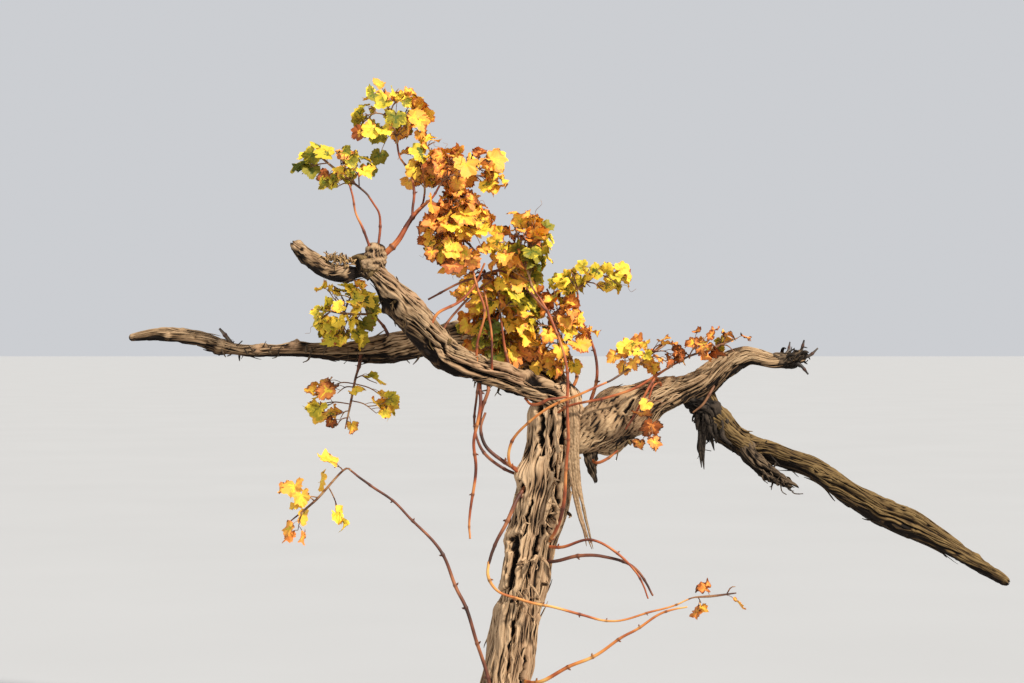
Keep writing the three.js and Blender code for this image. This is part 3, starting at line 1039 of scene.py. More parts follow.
@dataclass(frozen=True)
class Groove:
    """A long, deep furrow that wanders down the limb's front, by its x and z at each turn."""

    line: tuple[Span, ...]
    half_width: float
    depth: float
    lip: float = 0.003
    lip_at: float = 1.7
    lip_width: float = 0.6
    front: float = 0.005
    front_edge: float = 0.03
    wander: tuple[Span, ...] = ((0.003, 95), (0.0016, 240))

    def lift(self, skin: np.ndarray) -> np.ndarray:
        """How far it sinks the skin at each place, with its edges raised.

        Args:
            skin: The places on the skin.

        Returns:
            The heights there, below zero in the furrow.
        """
        height = skin[..., 2]
        swayed = sum((width * np.sin(pitch * height) for width, pitch in self.wander), skin[..., 0])
        flat = np.stack([swayed, height], -1)
        nearest = np.full(height.shape, np.inf)
        turns = np.array(self.line)
        for start, end in zip(turns[:-1], turns[1:]):
            span = end - start
            along = np.clip((flat - start) @ span / (span @ span), 0, 1)
            nearest = np.minimum(nearest, np.linalg.norm(flat - start - along[..., None] * span, axis=-1))
        front = smooth_step((self.front - skin[..., 1]) / self.front_edge)
        share = nearest / self.half_width
        raised = self.lip * np.exp(-(((share - self.lip_at) / self.lip_width) ** 2))
        return front * (raised - self.depth * np.exp(-(share**4)))


@dataclass(frozen=True)
class SkinRule:
    """How a limb's skin is made up, how its ends are worn, and how its crests and painted light and shade are
    found.
    """

    gnarl: float = 0.1
    full_bark_radius: float = 0.034
    least_bark: float = 0.45
    least_reach: float = 0.18
    sunk_depth: float = 0.012
    end_round: float = 0.8
    end_loss: float = 0.85
    tooth_reach: float = 0.02
    end_hollow: float = 0.6
    end_shift: float = 0.01
    fine_window: tuple[int, int] = (4, 3)
    fine_height: float = 0.0014
    fine_limits: Span = (-2.5, 1.3)
    fine_weight: float = 0.2
    broad_window: tuple[int, int] = (10, 13)
    broad_height: float = 0.005
    broad_limits: Span = (-2.0, 0.5)
    broad_weight: float = 0.28
    crest_level: float = 0.55
    end_crests: Span = (0.5, 0.5)
    painted_facing_gain: float = 0.24
    painted_facing_cap: float = 0.1
    hollow_shade_loss: float = 0.75
    ragged: float = 0.3
    shade_from: float = 0.18
    shade_edge: float = 0.45
    shade_start: float = 0.2
    peel_window: tuple[int, int] = (7, 4)
    map_cell: MapCell = MapCell(height=0.72)


SKIN_RULE = SkinRule()


@dataclass(frozen=True)
class Peeling:
    """One loose strip of bark, by its points: where each is on the limb, and its width and its lift there."""

    shares: np.ndarray
    turns: np.ndarray
    width: np.ndarray
    lift: np.ndarray
    cell: MapCell


@dataclass
class BarkLimb:
    """One woody limb with furrowed, peeling bark."""

    name: str
    kind: LimbKind
    stations: Sequence[Station]
    seed: int
    nodes: Sequence[str] = ()
    slot: str = "bark"
    finish: str = "old_bark"
    flare: RootFlare | None = None
    swellings: Sequence[Burl | Hollow | Groove] = ()
    knots: int = 0
    knot_height: float = 0.4
    crackle: float = 0.0
    splinter: float = 0.006
    peeling: float = 1.0
    # underside: how much painted shade darkens the limb's underside; dark_from: where along the limb that
    # shade starts.
    underside: float = 0.5
    dark_from: float = -1.0
    route: Route = field(init=False)

    SEEDS_EACH = 100
    KNOT_SEED = 500
    PEEL_SEED = 1000

    def __post_init__(self) -> None:
        """Threads the limb's way through its stations."""
        self.route = Route(self.stations)

    @property
    def cut(self) -> BarkCut:
        """How the limb's bark is cut."""
        return BARK_CUTS[self.kind]

    @property
    def girth(self) -> float:
        """The mean way round the limb."""
        return FULL_TURN * float(np.mean(self.route.radii))

    def hills(self, kind: Grain, turn: np.ndarray, share: np.ndarray) -> np.ndarray:
        """One draw of this limb's hills, at places on its skin.

        Args:
            kind: Which draw.
            turn: The place round the limb, in whole turns.
            share: The place along the limb.

        Returns:
            The heights there, from -1 to 1.
        """
        drawn = kind.value
        width, length = drawn.width, drawn.length
        if drawn.of_strip:
            width, length = width * self.cut.strip_width, length * self.cut.strip_length
        seed = self.seed * self.SEEDS_EACH + drawn.draw
        return BarkGrain(seed, self.girth / width, self.route.length / length).at(turn, share)

    def relief(self, angle: np.ndarray, share: np.ndarray, height: np.ndarray) -> np.ndarray:
        """The solid's own strands and lumps, as a share of its radius.

        Args:
            angle: The place round the limb, in radians.
            share: The place along the limb.
            height: How high the limb's centre is there.

        Returns:
            The shares there.
        """
        cut = self.cut
        strand = cut.strand_depth * np.cos(cut.strands * angle + cut.twist * share)
        lumps = sum(np.sin(around * angle + lengthwise * share) for around, lengthwise in LUMPS)
        flare = self.flare.at(angle, height) if self.flare else 0
        return 1 + strand + cut.gnarl * lumps + flare

    def bark_height(self, turn: np.ndarray, share: np.ndarray) -> np.ndarray:
        """How far furrows, strips and fibres move the skin in or out.

        Args:
            turn: The place round the limb, in whole turns.
            share: The place along the limb.

        Returns:
            The heights in metres.
        """
        cut, rule = self.cut, STRIP_RULE
        winding = turn + cut.twist / (FULL_TURN * cut.strands) * share
        sway = rule.sway * self.hills(Grain.SWAY, turn, share)
        swayed = winding + (sway + rule.wander * self.hills(Grain.WANDER, turn, share)) / self.girth
        strips = smooth_step(np.abs(self.hills(Grain.STRIPS, swayed, share)) / rule.strip_edge)
        layers = np.tanh(rule.layer_edge * self.hills(Grain.LAYERS, swayed, share))
        narrow = smooth_step(np.abs(self.hills(Grain.NARROW, swayed, share)) / rule.narrow_edge)
        deep = rule.valley_least + rule.valley_gain * smooth_step(0.5 + self.hills(Grain.DEPTHS, turn, share))
        valley = deep * np.exp(-(1 + np.cos(cut.strands * FULL_TURN * swayed)) / rule.valley_width)
        patchy = smooth_step(0.5 + rule.patch_swing * self.hills(Grain.PATCHES, turn, share))
        heights = (
            cut.strip_depth * (strips - rule.strip_level) * (rule.patch_least + rule.patch_gain * patchy)
            + rule.layer_share * cut.strip_depth * layers
            + cut.fibre_depth * (narrow - rule.narrow_level)
            + rule.fibre_share * cut.fibre_depth * self.hills(Grain.FIBRES, swayed, share)
            - cut.strand_furrow * valley
        )
        return self.crackled(heights, turn, share) if self.crackle else heights

    def crackled(self, heights: np.ndarray, turn: np.ndarray, share: np.ndarray) -> np.ndarray:
        """Gives the limb's first stretch slanting dashes, flakes and slabs in place of long strips.

        Args:
            heights: The heights of its long strips.
            turn: The place round the limb, in whole turns.
            share: The place along the limb.

        Returns:
            The new heights.
        """
        rule = CRACKLE_RULE
        shifted = turn + rule.bend * self.hills(Grain.BENDS, turn, share) + rule.slant * share
        stepped = share + rule.step * self.hills(Grain.STEPS, turn, share)
        dashes = smooth_step((self.hills(Grain.DASHES, shifted, stepped) - rule.dash_from) / rule.dash_edge)
        flakes = smooth_step(np.abs(self.hills(Grain.FLAKES, shifted, stepped)) / rule.flake_edge)
        rough = (
            rule.flake_share * self.cut.fibre_depth * (flakes - rule.flake_level)
            + rule.slab_depth * self.hills(Grain.SLABS, shifted, stepped)
            - rule.dash_depth * dashes
        )
        weight = smooth_step((self.crackle - share) / rule.fade)
        return heights * (1 - rule.smoothing * weight) + rough * weight

    def knot_marks(self, places: np.ndarray) -> list[Burl]:
        """The old knots: swellings at seeded places, some with a rotted middle.

        Args:
            places: The limb's skin before they are raised.

        Returns:
            The swellings and their hollows.
        """
        rule, made = KNOT_RULE, []
        rng = np.random.default_rng(self.seed + self.KNOT_SEED)
        for _ in range(self.knots):
            ring = int(rng.uniform(*rule.band) * len(places))
            centre = tuple(places[ring, rng.integers(places.shape[1])])
            thickness = float(np.interp(ring / len(places), (0, 1), self.route.radii[[0, -1]]))
            radius = min(max(rng.uniform(*rule.radius_share) * thickness, rule.radii[0]), rule.radii[1])
            made.append(Burl(centre, radius, rng.uniform(*rule.height_swing) * self.knot_height * radius))
            if rng.uniform() < rule.rotted:
                made.append(Burl(centre, rule.rot_radius * radius, -rule.rot_depth * radius))
        return made

    def skin(self, rings: Rings) -> tuple[np.ndarray, np.ndarray, np.ndarray]:
        """The limb's skin.

        Args:
            rings: The limb's cross-sections.

        Returns:
            The places on the skin, how far each stands from the limb's centre, and how deep it lies in a
            hollow, from 0 to 1.
        """
        rule, sides, radii = SKIN_RULE, self.cut.sides, rings.radii[:, None]
        turn = np.broadcast_to(np.arange(sides)[None, :] / sides, (len(rings.shares), sides))
        share = np.broadcast_to(rings.shares[:, None], turn.shape)
        height = np.broadcast_to(rings.centres[:, 2:3], turn.shape)
        gnarl = rule.gnarl * self.hills(Grain.GNARL, turn, share)
        base = radii * (self.relief(FULL_TURN * turn, share, height) + gnarl)
        rough = self.bark_height(turn, share) * np.clip(radii / rule.full_bark_radius, rule.least_bark, 1.0)
        places = rings.skin(base)
        marks = [*self.swellings, *self.knot_marks(places)]
        swell = sum((mark.lift(places) for mark in marks), np.zeros_like(base))
        reach = np.maximum(base + rough + swell, rule.least_reach * radii)
        if not self.flare:
            reach *= self.end_taper(rings)[:, None]
        return rings.skin(reach), reach, np.clip(-swell / rule.sunk_depth, 0, 1)

    def end_taper(self, rings: Rings) -> np.ndarray:
        """How much of its reach the limb keeps at each ring, as its end is worn round.

        Args:
            rings: The limb's cross-sections.

        Returns:
            The share kept at each ring.
        """
        rounding = SKIN_RULE.end_round * float(rings.radii[-1])
        past = np.clip(1 - (1 - rings.shares) * self.route.length / rounding, 0, 1)
        return np.sqrt(1 - SKIN_RULE.end_loss * past**2)

    def crest(self, reach: np.ndarray) -> np.ndarray:
        """How near each place is to the top of its strip, from 0 in a furrow to 1 on a crest.

        Args:
            reach: The limb's skin, as distances from its centre.

        Returns:
            The nearness at each place.
        """
        rule = SKIN_RULE
        fine = np.clip((reach - blurred(reach, *rule.fine_window)) / rule.fine_height, *rule.fine_limits)
        broad = np.clip((reach - blurred(reach, *rule.broad_window)) / rule.broad_height, *rule.broad_limits)
        return np.clip(rule.crest_level + rule.fine_weight * fine + rule.broad_weight * broad, 0, 1)

    def painted_underside_shade(self, facing_up: np.ndarray, share: np.ndarray) -> np.ndarray:
        """The painted shade on the limb's underside: what its crest loses where the skin faces down.

        Args:
            facing_up: How far the skin looks up, from -1 to 1.
            share: The place along the limb.

        Returns:
            The loss there.
        """
        below = smooth_step((-facing_up - SKIN_RULE.shade_from) / SKIN_RULE.shade_edge)
        return self.underside * below * smooth_step((share - self.dark_from) / SKIN_RULE.shade_start)

    def build(self) -> Shell:
        """Builds the limb's mesh.

        Returns:
            The shell, ready to be made into a piece.
        """
        rule, sides, length = SKIN_RULE, self.cut.sides, self.route.length
        rings = self.route.rings(math.ceil(length / self.cut.step))
        places, reach, sunk = self.skin(rings)
        share = np.broadcast_to(rings.shares[:, None], reach.shape)
        turn = np.broadcast_to(np.arange(sides) / sides, reach.shape)
        if self.splinter:
            teeth = np.abs(self.hills(Grain.TEETH, turn[0], np.ones(sides)))
            tail = smooth_step((rings.shares * length - length + rule.tooth_reach) / rule.tooth_reach)
            places += (tail[:, None] * (teeth - 0.5) * 2 * self.splinter)[..., None] * rings.headings[-1]
        if self.flare:
            places = cut_level(places)
        hollow = rule.end_hollow * self.splinter * rings.headings[-1]
        angles = FULL_TURN * turn + self.cut.twist / self.cut.strands * rings.shares[:, None]
        radius = float(np.mean(rings.radii))
        grain = np.stack([radius * np.cos(angles), radius * np.sin(angles), share * length * FIBRE_PITCH], -1)
        grain_ends = at_ends(grain)
        grain_ends[1] += np.random.default_rng(self.seed).uniform(0, rule.end_shift, 3)
        facing_up = unit(places - rings.centres[:, None])[..., 2]
        ragged = rule.ragged * self.hills(Grain.RAGGED, turn, share)
        # Painted light and shade, held in bleached: the crest rises a little where the skin faces up and
        # falls by up to 0.24 where it faces down.
        bleached = rule.painted_facing_gain * np.minimum(facing_up, rule.painted_facing_cap)
        # Painted shade in hollows, grooves and dents: the crest falls where the skin lies sunk.
        crest = self.crest(reach) + bleached - rule.hollow_shade_loss * sunk
        # Painted shade on the underside, with a ragged edge.
        crest = np.clip(crest - self.painted_underside_shade(facing_up + ragged, share), 0, 1)
        ends = np.stack([places[0].mean(0), places[-1].mean(0) - hollow])
        marks = {"crest": (crest, rule.end_crests), "grain": (grain, grain_ends)}
        shell = Shell()
        add_loft(shell, places, ends, rule.map_cell, **marks)
        self.add_peelings(shell, rings, blurred(reach, *rule.peel_window))
        return shell

    def add_peelings(self, shell: Shell, rings: Rings, reach: np.ndarray) -> None:
        """Adds the loose strips of bark that lie along the limb, some with an end that stands off.

        Args:
            shell: What they are added to.
            rings: The limb's cross-sections.
            reach: The limb's smoothed skin, as distances from its centre.
        """
        cut, rule, length = self.cut, PEEL_RULE, self.route.length
        rng = np.random.default_rng(self.seed + self.PEEL_SEED)
        first = rule.first_on_trunk if self.flare else rule.first
        count = int(cut.peel_density * self.peeling * FULL_TURN * float(np.mean(rings.radii)) * length)
        for number in range(count):
            long = min(rng.uniform(*cut.peel_length), rule.longest * length)
            start = rng.uniform(first, rule.last - long / length)
            marks = np.linspace(0, 1, max(rule.fewest_points, math.ceil(long / rule.point_gap)))
            shares = start + marks * long / length
            sway = rule.sway * np.sin(FULL_TURN * (marks * rng.uniform(*rule.sway_turns) + rng.uniform()))
            turns = rng.uniform() - cut.twist / (FULL_TURN * cut.strands) * (shares - start) + sway
            width = rng.uniform(*cut.peel_width) * np.clip(np.sin(math.pi * marks), rule.tip_width, 1) ** 0.5
            loose = rng.choice(rule.loose_draws) * rng.uniform(*rule.looseness)
            end = marks if rng.uniform() < 0.5 else 1 - marks
            lift = rule.lift + loose * smooth_step((end - rule.lifted_from) / rule.lift_length)
            cell = MapCell(number / count, rule.map_low, rule.map_share * (1 / count), rule.map_height)
            self.add_peeling(shell, rings, reach, Peeling(shares, turns, width, lift, cell))

    def add_peeling(self, shell: Shell, rings: Rings, reach: np.ndarray, strip: Peeling) -> None:
        """Adds one strip of bark.

        Args:
            shell: What it is added to.
            rings: The limb's cross-sections.
            reach: The limb's smoothed skin.
            strip: The strip's points.
        """
        rule, count, sides = PEEL_RULE, len(rings.shares), reach.shape[1]
        across, raised, crest = (np.array(row)[None, :] for row in (rule.across, rule.raised, rule.crest))
        ring = strip.shares * (count - 1)
        centres, normals, binormals = (
            np.stack([np.interp(ring, np.arange(count), column) for column in table.T], -1)[:, None]
            for table in (rings.centres, rings.normals, rings.binormals)
        )
        radius = np.interp(ring, np.arange(count), rings.radii)
        turn = strip.turns[:, None] + across * (strip.width / (2 * FULL_TURN * radius))[:, None]
        low = np.minimum(ring.astype(int), count - 2)[:, None]
        side = (turn % 1.0) * sides
        column = side.astype(int) % sides
        part = side - side.astype(int)
        skin = reach[low, column] * (1 - part) + reach[low, (column + 1) % sides] * part
        out = skin + strip.lift[:, None] + raised * np.minimum(1, strip.width / rule.thick_from)[:, None]
        angle = FULL_TURN * turn
        way = normals * np.cos(angle)[..., None] + binormals * np.sin(angle)[..., None]
        points = centres + out[..., None] * way
        lengthwise = strip.shares * self.route.length * FIBRE_PITCH
        rows = (across * strip.width[:, None], rule.pattern_gap * strip.cell.left, lengthwise[:, None])
        grain = np.stack(np.broadcast_arrays(*rows), -1)
        # Painted shade: the strip is darkened where it faces down, as the limb's underside is.
        crest = np.clip(crest - self.painted_underside_shade(way[..., 2], strip.shares[:, None]), 0, 1)
        ends = np.stack([points[0].mean(0), points[-1].mean(0)])
        marks = {"crest": (crest, rule.end_crests), "grain": (grain, at_ends(grain))}
        add_loft(shell, points, ends, strip.cell, **marks)

    def dress(self, finishes: Finishes) -> None:
        """Makes the limb's piece and gives it its bark."""
        finished(self.build().piece(self.name, [finishes[self.finish]]), self.slot, self.nodes)


def cut_level(places: np.ndarray) -> np.ndarray:
    """Cuts a standing limb off flat at ground level.

    Args:
        places: The limb's skin, as an array of rings by sides by three, from its foot up.

    Returns:
        The same skin, with all that lay under the ground drawn up to where each line of it leaves the ground.
    """
    level = places.copy()
    heights = places[..., 2]
    for side in range(places.shape[1]):
        first = int(np.argmax(heights[:, side] > 0))
        low, high = places[first - 1, side], places[first, side]
        level[:first, side] = low + (high - low) * (-low[2] / (high[2] - low[2]))
        level[:first, side, 2] = 0.0
    return level


@dataclass(frozen=True)
class RibbonRule:
    """How a torn strip of bark is cut, cupped and frayed."""

    sides: int = 12
    step: float = 0.004
    fewest_rings: int = 6
    torn: float = 0.3
    ragged: float = 0.5
    cup: float = 0.3
    thinnest: float = 1e-4
    pattern_gap: float = 0.37
    crest_level: float = 0.55
    crest_round: float = 0.3
    crest_swing: float = 0.25
    end_crests: Span = (0.4, 0.4)


RIBBON_RULE = RibbonRule()


def add_ribbon(shell: Shell, route: Route, facing: np.ndarray, thickness: float, seed: int) -> None:
    """Adds one flat torn strip of bark to a shell.

    Args:
        shell: What it is added to.
        route: The way that it follows, with half its width as the radius.
        facing: The way that its flat side looks.
        thickness: How thick it is.
        seed: The seed of its torn edges.
    """
    rule = RIBBON_RULE
    rings = route.rings(max(rule.fewest_rings, math.ceil(route.length / rule.step)))
    rng = np.random.default_rng(seed)
    across = unit(np.cross(rings.headings, facing))
    outward = np.cross(across, rings.headings)
    angles = FULL_TURN * np.arange(rule.sides)[None] / rule.sides
    torn = blurred(1 + rule.torn * rng.uniform(-1, 1, (len(rings.shares), rule.sides)), 1, 1)
    wide = rings.radii[:, None] * torn * np.cos(angles)
    thick = 0.5 * thickness * (torn + rule.ragged * rng.uniform(-1, 1, torn.shape)) * np.sin(angles)
    cupped = thick - rule.cup * wide**2 / np.maximum(rings.radii[:, None], rule.thinnest)
    skin = rings.centres[:, None] + wide[..., None] * across[:, None] + cupped[..., None] * outward[:, None]
    reached = rings.shares * route.length * FIBRE_PITCH + seed * rule.pattern_gap
    grain = np.stack(np.broadcast_arrays(wide, thick, reached[:, None]), -1)
    uneven = rng.uniform(-rule.crest_swing, rule.crest_swing, torn.shape)
    crest = np.clip(rule.crest_level + rule.crest_round * np.sin(angles) + uneven, 0, 1)
    ends = np.stack([skin[0].mean(0), skin[-1].mean(0)])
    add_loft(shell, skin, ends, crest=(crest, rule.end_crests), grain=(grain, at_ends(grain)))


@dataclass(frozen=True)
class Shreds:
    """A bunch of torn bark shreds that start on a stretch of wood and trail off it."""

    name: str
    start: Place
    end: Place
    wood_radius: float
    way: Place
    count: int
    length: Span
    width: Span
    seed: int
    finish: str = "dead_bark"
    slot: str = "dead_bark"
    straggle: float = 0.35
    fan: float = 0.6
    foot_depth: float = 0.8
    bend_reach: float = 0.5
    bulge: float = 0.25
    tip_stray: float = 0.12
    bend_width: float = 0.8
    tip_width: float = 0.25
    facing_stray: float = 0.3
    flatness: float = 0.4
    least_thickness: float = 0.001

    SEEDS_EACH = 100

    def build(self) -> Shell:
        """Builds the bunch's mesh.

        Returns:
            The shell, ready to be made into a piece.
        """
        rng = np.random.default_rng(self.seed)
        shell = Shell()
        start, end, trail = np.array(self.start), np.array(self.end), np.array(self.way)
        axis = unit(end - start)
        for number in range(self.count):
            side = unit(trail + rng.normal(scale=self.fan, size=3))
            side = unit(side - (side @ axis) * axis)
            foot = start + (end - start) * rng.uniform() + side * self.wood_radius * self.foot_depth
            long = rng.uniform(*self.length)
            half = 0.5 * rng.uniform(*self.width)
            way = unit(trail + rng.normal(scale=self.straggle, size=3))
            bend = foot + (self.bend_reach * way + self.bulge * side) * long
            tip = foot + way * long + rng.normal(scale=self.tip_stray * long, size=3)
            route = Route(((*foot, half), (*bend, self.bend_width * half), (*tip, self.tip_width * half)))
            facing = side + rng.normal(scale=self.facing_stray, size=3)
            thickness = self.flatness * half + self.least_thickness
            add_ribbon(shell, route, facing, thickness, self.seed * self.SEEDS_EACH + number)
        return shell

    def dress(self, finishes: Finishes) -> None:
        """Makes the bunch's piece and gives it its bark."""
        finished(self.build().piece(self.name, [finishes[self.finish]]), self.slot)


@dataclass(frozen=True)
class Strap:
    """A long flat strip of bark that has come away from the trunk, torn into strands towards its end."""

    name: str
    stations: Sequence[Station]
    seed: int
    finish: str = "old_bark"
    thickness: float = 0.005
    strands: int = 2
    facing: Place = (0.0, -1.0, 0.0)
    most_shorter: int = 2
    depth_swing: float = 0.002
    overlap: float = 1.5
    tip_stray: float = 0.004
    tip_width: float = 0.35

    def build(self) -> Shell:
        """Builds the strip's mesh, strand by strand.

        Returns:
            The shell, ready to be made into a piece.
        """
        rng = np.random.default_rng(self.seed)
        shell = Shell()
        facing, table = np.array(self.facing), np.array(self.stations)
        across = unit(np.cross(table[-1, :3] - table[0, :3], facing))
        for number in range(self.strands):
            share = (number + 0.5) / self.strands * 2 - 1
            shorter = int(rng.integers(0, self.most_shorter + 1)) * (number != self.strands // 2)
            strand = table[: len(table) - shorter].copy()
            strand[:, :3] += across * (share * strand[:, 3:])
            strand[:, :3] += facing * rng.uniform(-self.depth_swing, self.depth_swing)
            strand[:, 3] *= self.overlap / self.strands
            strand[-1, :3] += rng.normal(scale=self.tip_stray, size=3)
            strand[-1, 3] *= self.tip_width
            add_ribbon(shell, Route(strand), facing, self.thickness, self.seed + number)
        return shell

    def dress(self, finishes: Finishes) -> None:
        """Makes the strip's piece and gives it its bark."""
        finished(self.build().piece(self.name, [finishes[self.finish]]), "bark")


@dataclass(frozen=True)
class Bud:
    """A pointed bud. Its stations are its ways out and on and its radius, in shares of the cane's radius."""

    stations: tuple[Place, ...] = ((0.5, 0.0, 0.6), (0.9, 0.5, 0.5), (0.9, 1.2, 0.1))
    lean_out: float = 0.7
    lean_on: float = 0.75
    rings: int = 5
    sides: int = 6
    joint: float = 0.75
    stretch: float = 0.2

    def add(
        self, shell: Shell, centre: np.ndarray, outward: np.ndarray, heading: np.ndarray, size: float
    ) -> None:
        """Adds one bud to a shell.

        Args:
            shell: What it is added to.
            centre: The cane's centre at the joint.
            outward: The side that the bud stands on.
            heading: The way that the cane runs.
            size: The cane's radius there.
        """
        lean = unit(self.lean_out * outward + self.lean_on * heading)
        stations = [
            (*(centre + outward * size * out + lean * size * on), size * radius)
            for out, on, radius in self.stations
        ]
        add_round(shell, Route(stations).rings(self.rings), self.sides, self.joint, self.stretch)


@dataclass
class Cane:
    """A loose cane: slightly zigzag, swollen and dark at its joints, with a bud at each."""

    name: str
    stations: Sequence[Station]
    seed: int
    nodes: Sequence[str] = ()
    finish: str = "ripe_cane"
    slimness: float = 0.66
    joint_spacing: float = 0.078
    first_joint: float = 0.6
    joint_room: float = 0.2
    joint_stray: float = 0.22
    joint_swell: float = 0.3
    joint_swing: Span = (0.5, 1.1)
    joint_length: float = 0.004
    joint_shade: float = 0.8
    end_shades: Span = (0.3, 0.3)
    waist: float = 0.94
    flutes: tuple[tuple[int, float], ...] = ((4, 0.035), (7, 0.02))
    zigzag: float = 0.0022
    straight_end: float = 0.03
    stripe_pitch: float = 0.05
    sides: int = 12
    step: float = 0.0022
    fewest_rings: int = 8
    bud: Bud = Bud()
    route: Route = field(init=False)

    def __post_init__(self) -> None:
        """Threads the cane's way through its stations, as slim as the real one is."""
        self.route = Route([(*place, radius * self.slimness) for *place, radius in self.stations])

    def joints(self) -> np.ndarray:
        """How far along the cane each joint is.

        Returns:
            The distances from the cane's foot.
        """
        rng = np.random.default_rng(self.seed)
        count = max(1, int(self.route.length / self.joint_spacing))
        even = (np.arange(count) + self.first_joint) * self.route.length / (count + self.joint_room)
        return even + rng.uniform(-self.joint_stray, self.joint_stray, count) * self.joint_spacing

    def build(self) -> Shell:
        """Builds the cane's mesh, with its buds.

        Returns:
            The shell, ready to be made into a piece.
        """
        length = self.route.length
        rings = self.route.rings(max(self.fewest_rings, math.ceil(length / self.step)))
        reached = rings.shares * length
        joints = self.joints()
        nearness = np.exp(-(((reached[:, None] - joints[None, :]) / self.joint_length) ** 2))
        swings = np.random.default_rng(self.seed + 1).uniform(*self.joint_swing, len(joints))
        swell = (nearness * swings).sum(1)
        phase = np.interp(reached, joints, np.arange(len(joints)))
        fade = smooth_step(reached / self.straight_end) * smooth_step((length - reached) / self.straight_end)
        swing = self.zigzag * np.cos(math.pi * phase) * fade
        moved = replace(rings, centres=rings.centres + swing[:, None] * rings.normals)
        angles = FULL_TURN * np.arange(self.sides) / self.sides
        fluted = sum((depth * np.cos(count * angles) for count, depth in self.flutes), np.ones(self.sides))
        skin = moved.skin((rings.radii * (self.waist + self.joint_swell * swell))[:, None] * fluted)
        radius = float(np.mean(rings.radii))
        stripes = reached * self.stripe_pitch + self.seed
        rows = (np.cos(angles) * radius, np.sin(angles) * radius, stripes[:, None])
        grain = np.stack(np.broadcast_arrays(*rows), -1)
        joint = np.broadcast_to((np.clip(swell, 0, 1) * self.joint_shade)[:, None], skin.shape[:2])
        marks = {"joint": (joint, self.end_shades), "grain": (grain, at_ends(grain))}
        shell = Shell()
        add_loft(shell, skin, moved.centres[[0, -1]], **marks)
        for number, place in enumerate(joints[:-1]):
            centre, heading, size = self.route.at(place / length)
            ring = int(np.argmin(np.abs(reached - place)))
            outward = rings.normals[ring] * (1 if number % 2 else -1)
            self.bud.add(shell, centre, outward, heading, float(size))
        return shell

    def dress(self, finishes: Finishes) -> None:
        """Makes the cane's piece and gives it its skin."""
        finished(self.build().piece(self.name, [finishes[self.finish]]), "cane", self.nodes)


@dataclass(frozen=True)
class LeafBend:
    """The ranges that a leaf's bends are drawn from, and what dryness adds to them."""

    uneven: float = 0.07
    narrow: Span = (0.88, 1.04)
    vein_width: float = 13.0
    pleat: Span = (0.05, 0.1)
    fold: Span = (0.05, 0.3)
    dry_fold: Span = (0.2, 1.0)
    dry_fold_weight: float = 0.5
    cup: Span = (-0.08, 0.3)
    dry_cup: float = 0.35
    cup_sideways: float = 0.5
    waves: Span = (0.03, 0.08)
    dry_waves: float = 1.6
    wave_counts: tuple[int, int] = (3, 6)
    frill: float = 0.05
    frill_counts: tuple[int, int] = (8, 12)
    frill_start: float = 6.0
    crumple: float = 0.016
    dry_crumple: float = 0.022
    fresh_curl: float = 0.4
    curl: Span = (-0.2, 0.7)
    curl_pull: float = 0.25
    curl_drop: float = 0.45
    roll_from: float = 0.6
    roll: Span = (0.5, 2.2)
    roll_least: float = 0.6
    roll_swing: float = 0.4
    roll_pull: float = 1.2
    twist: Span = (-0.35, 0.35)
    fresh_twist: float = 0.5


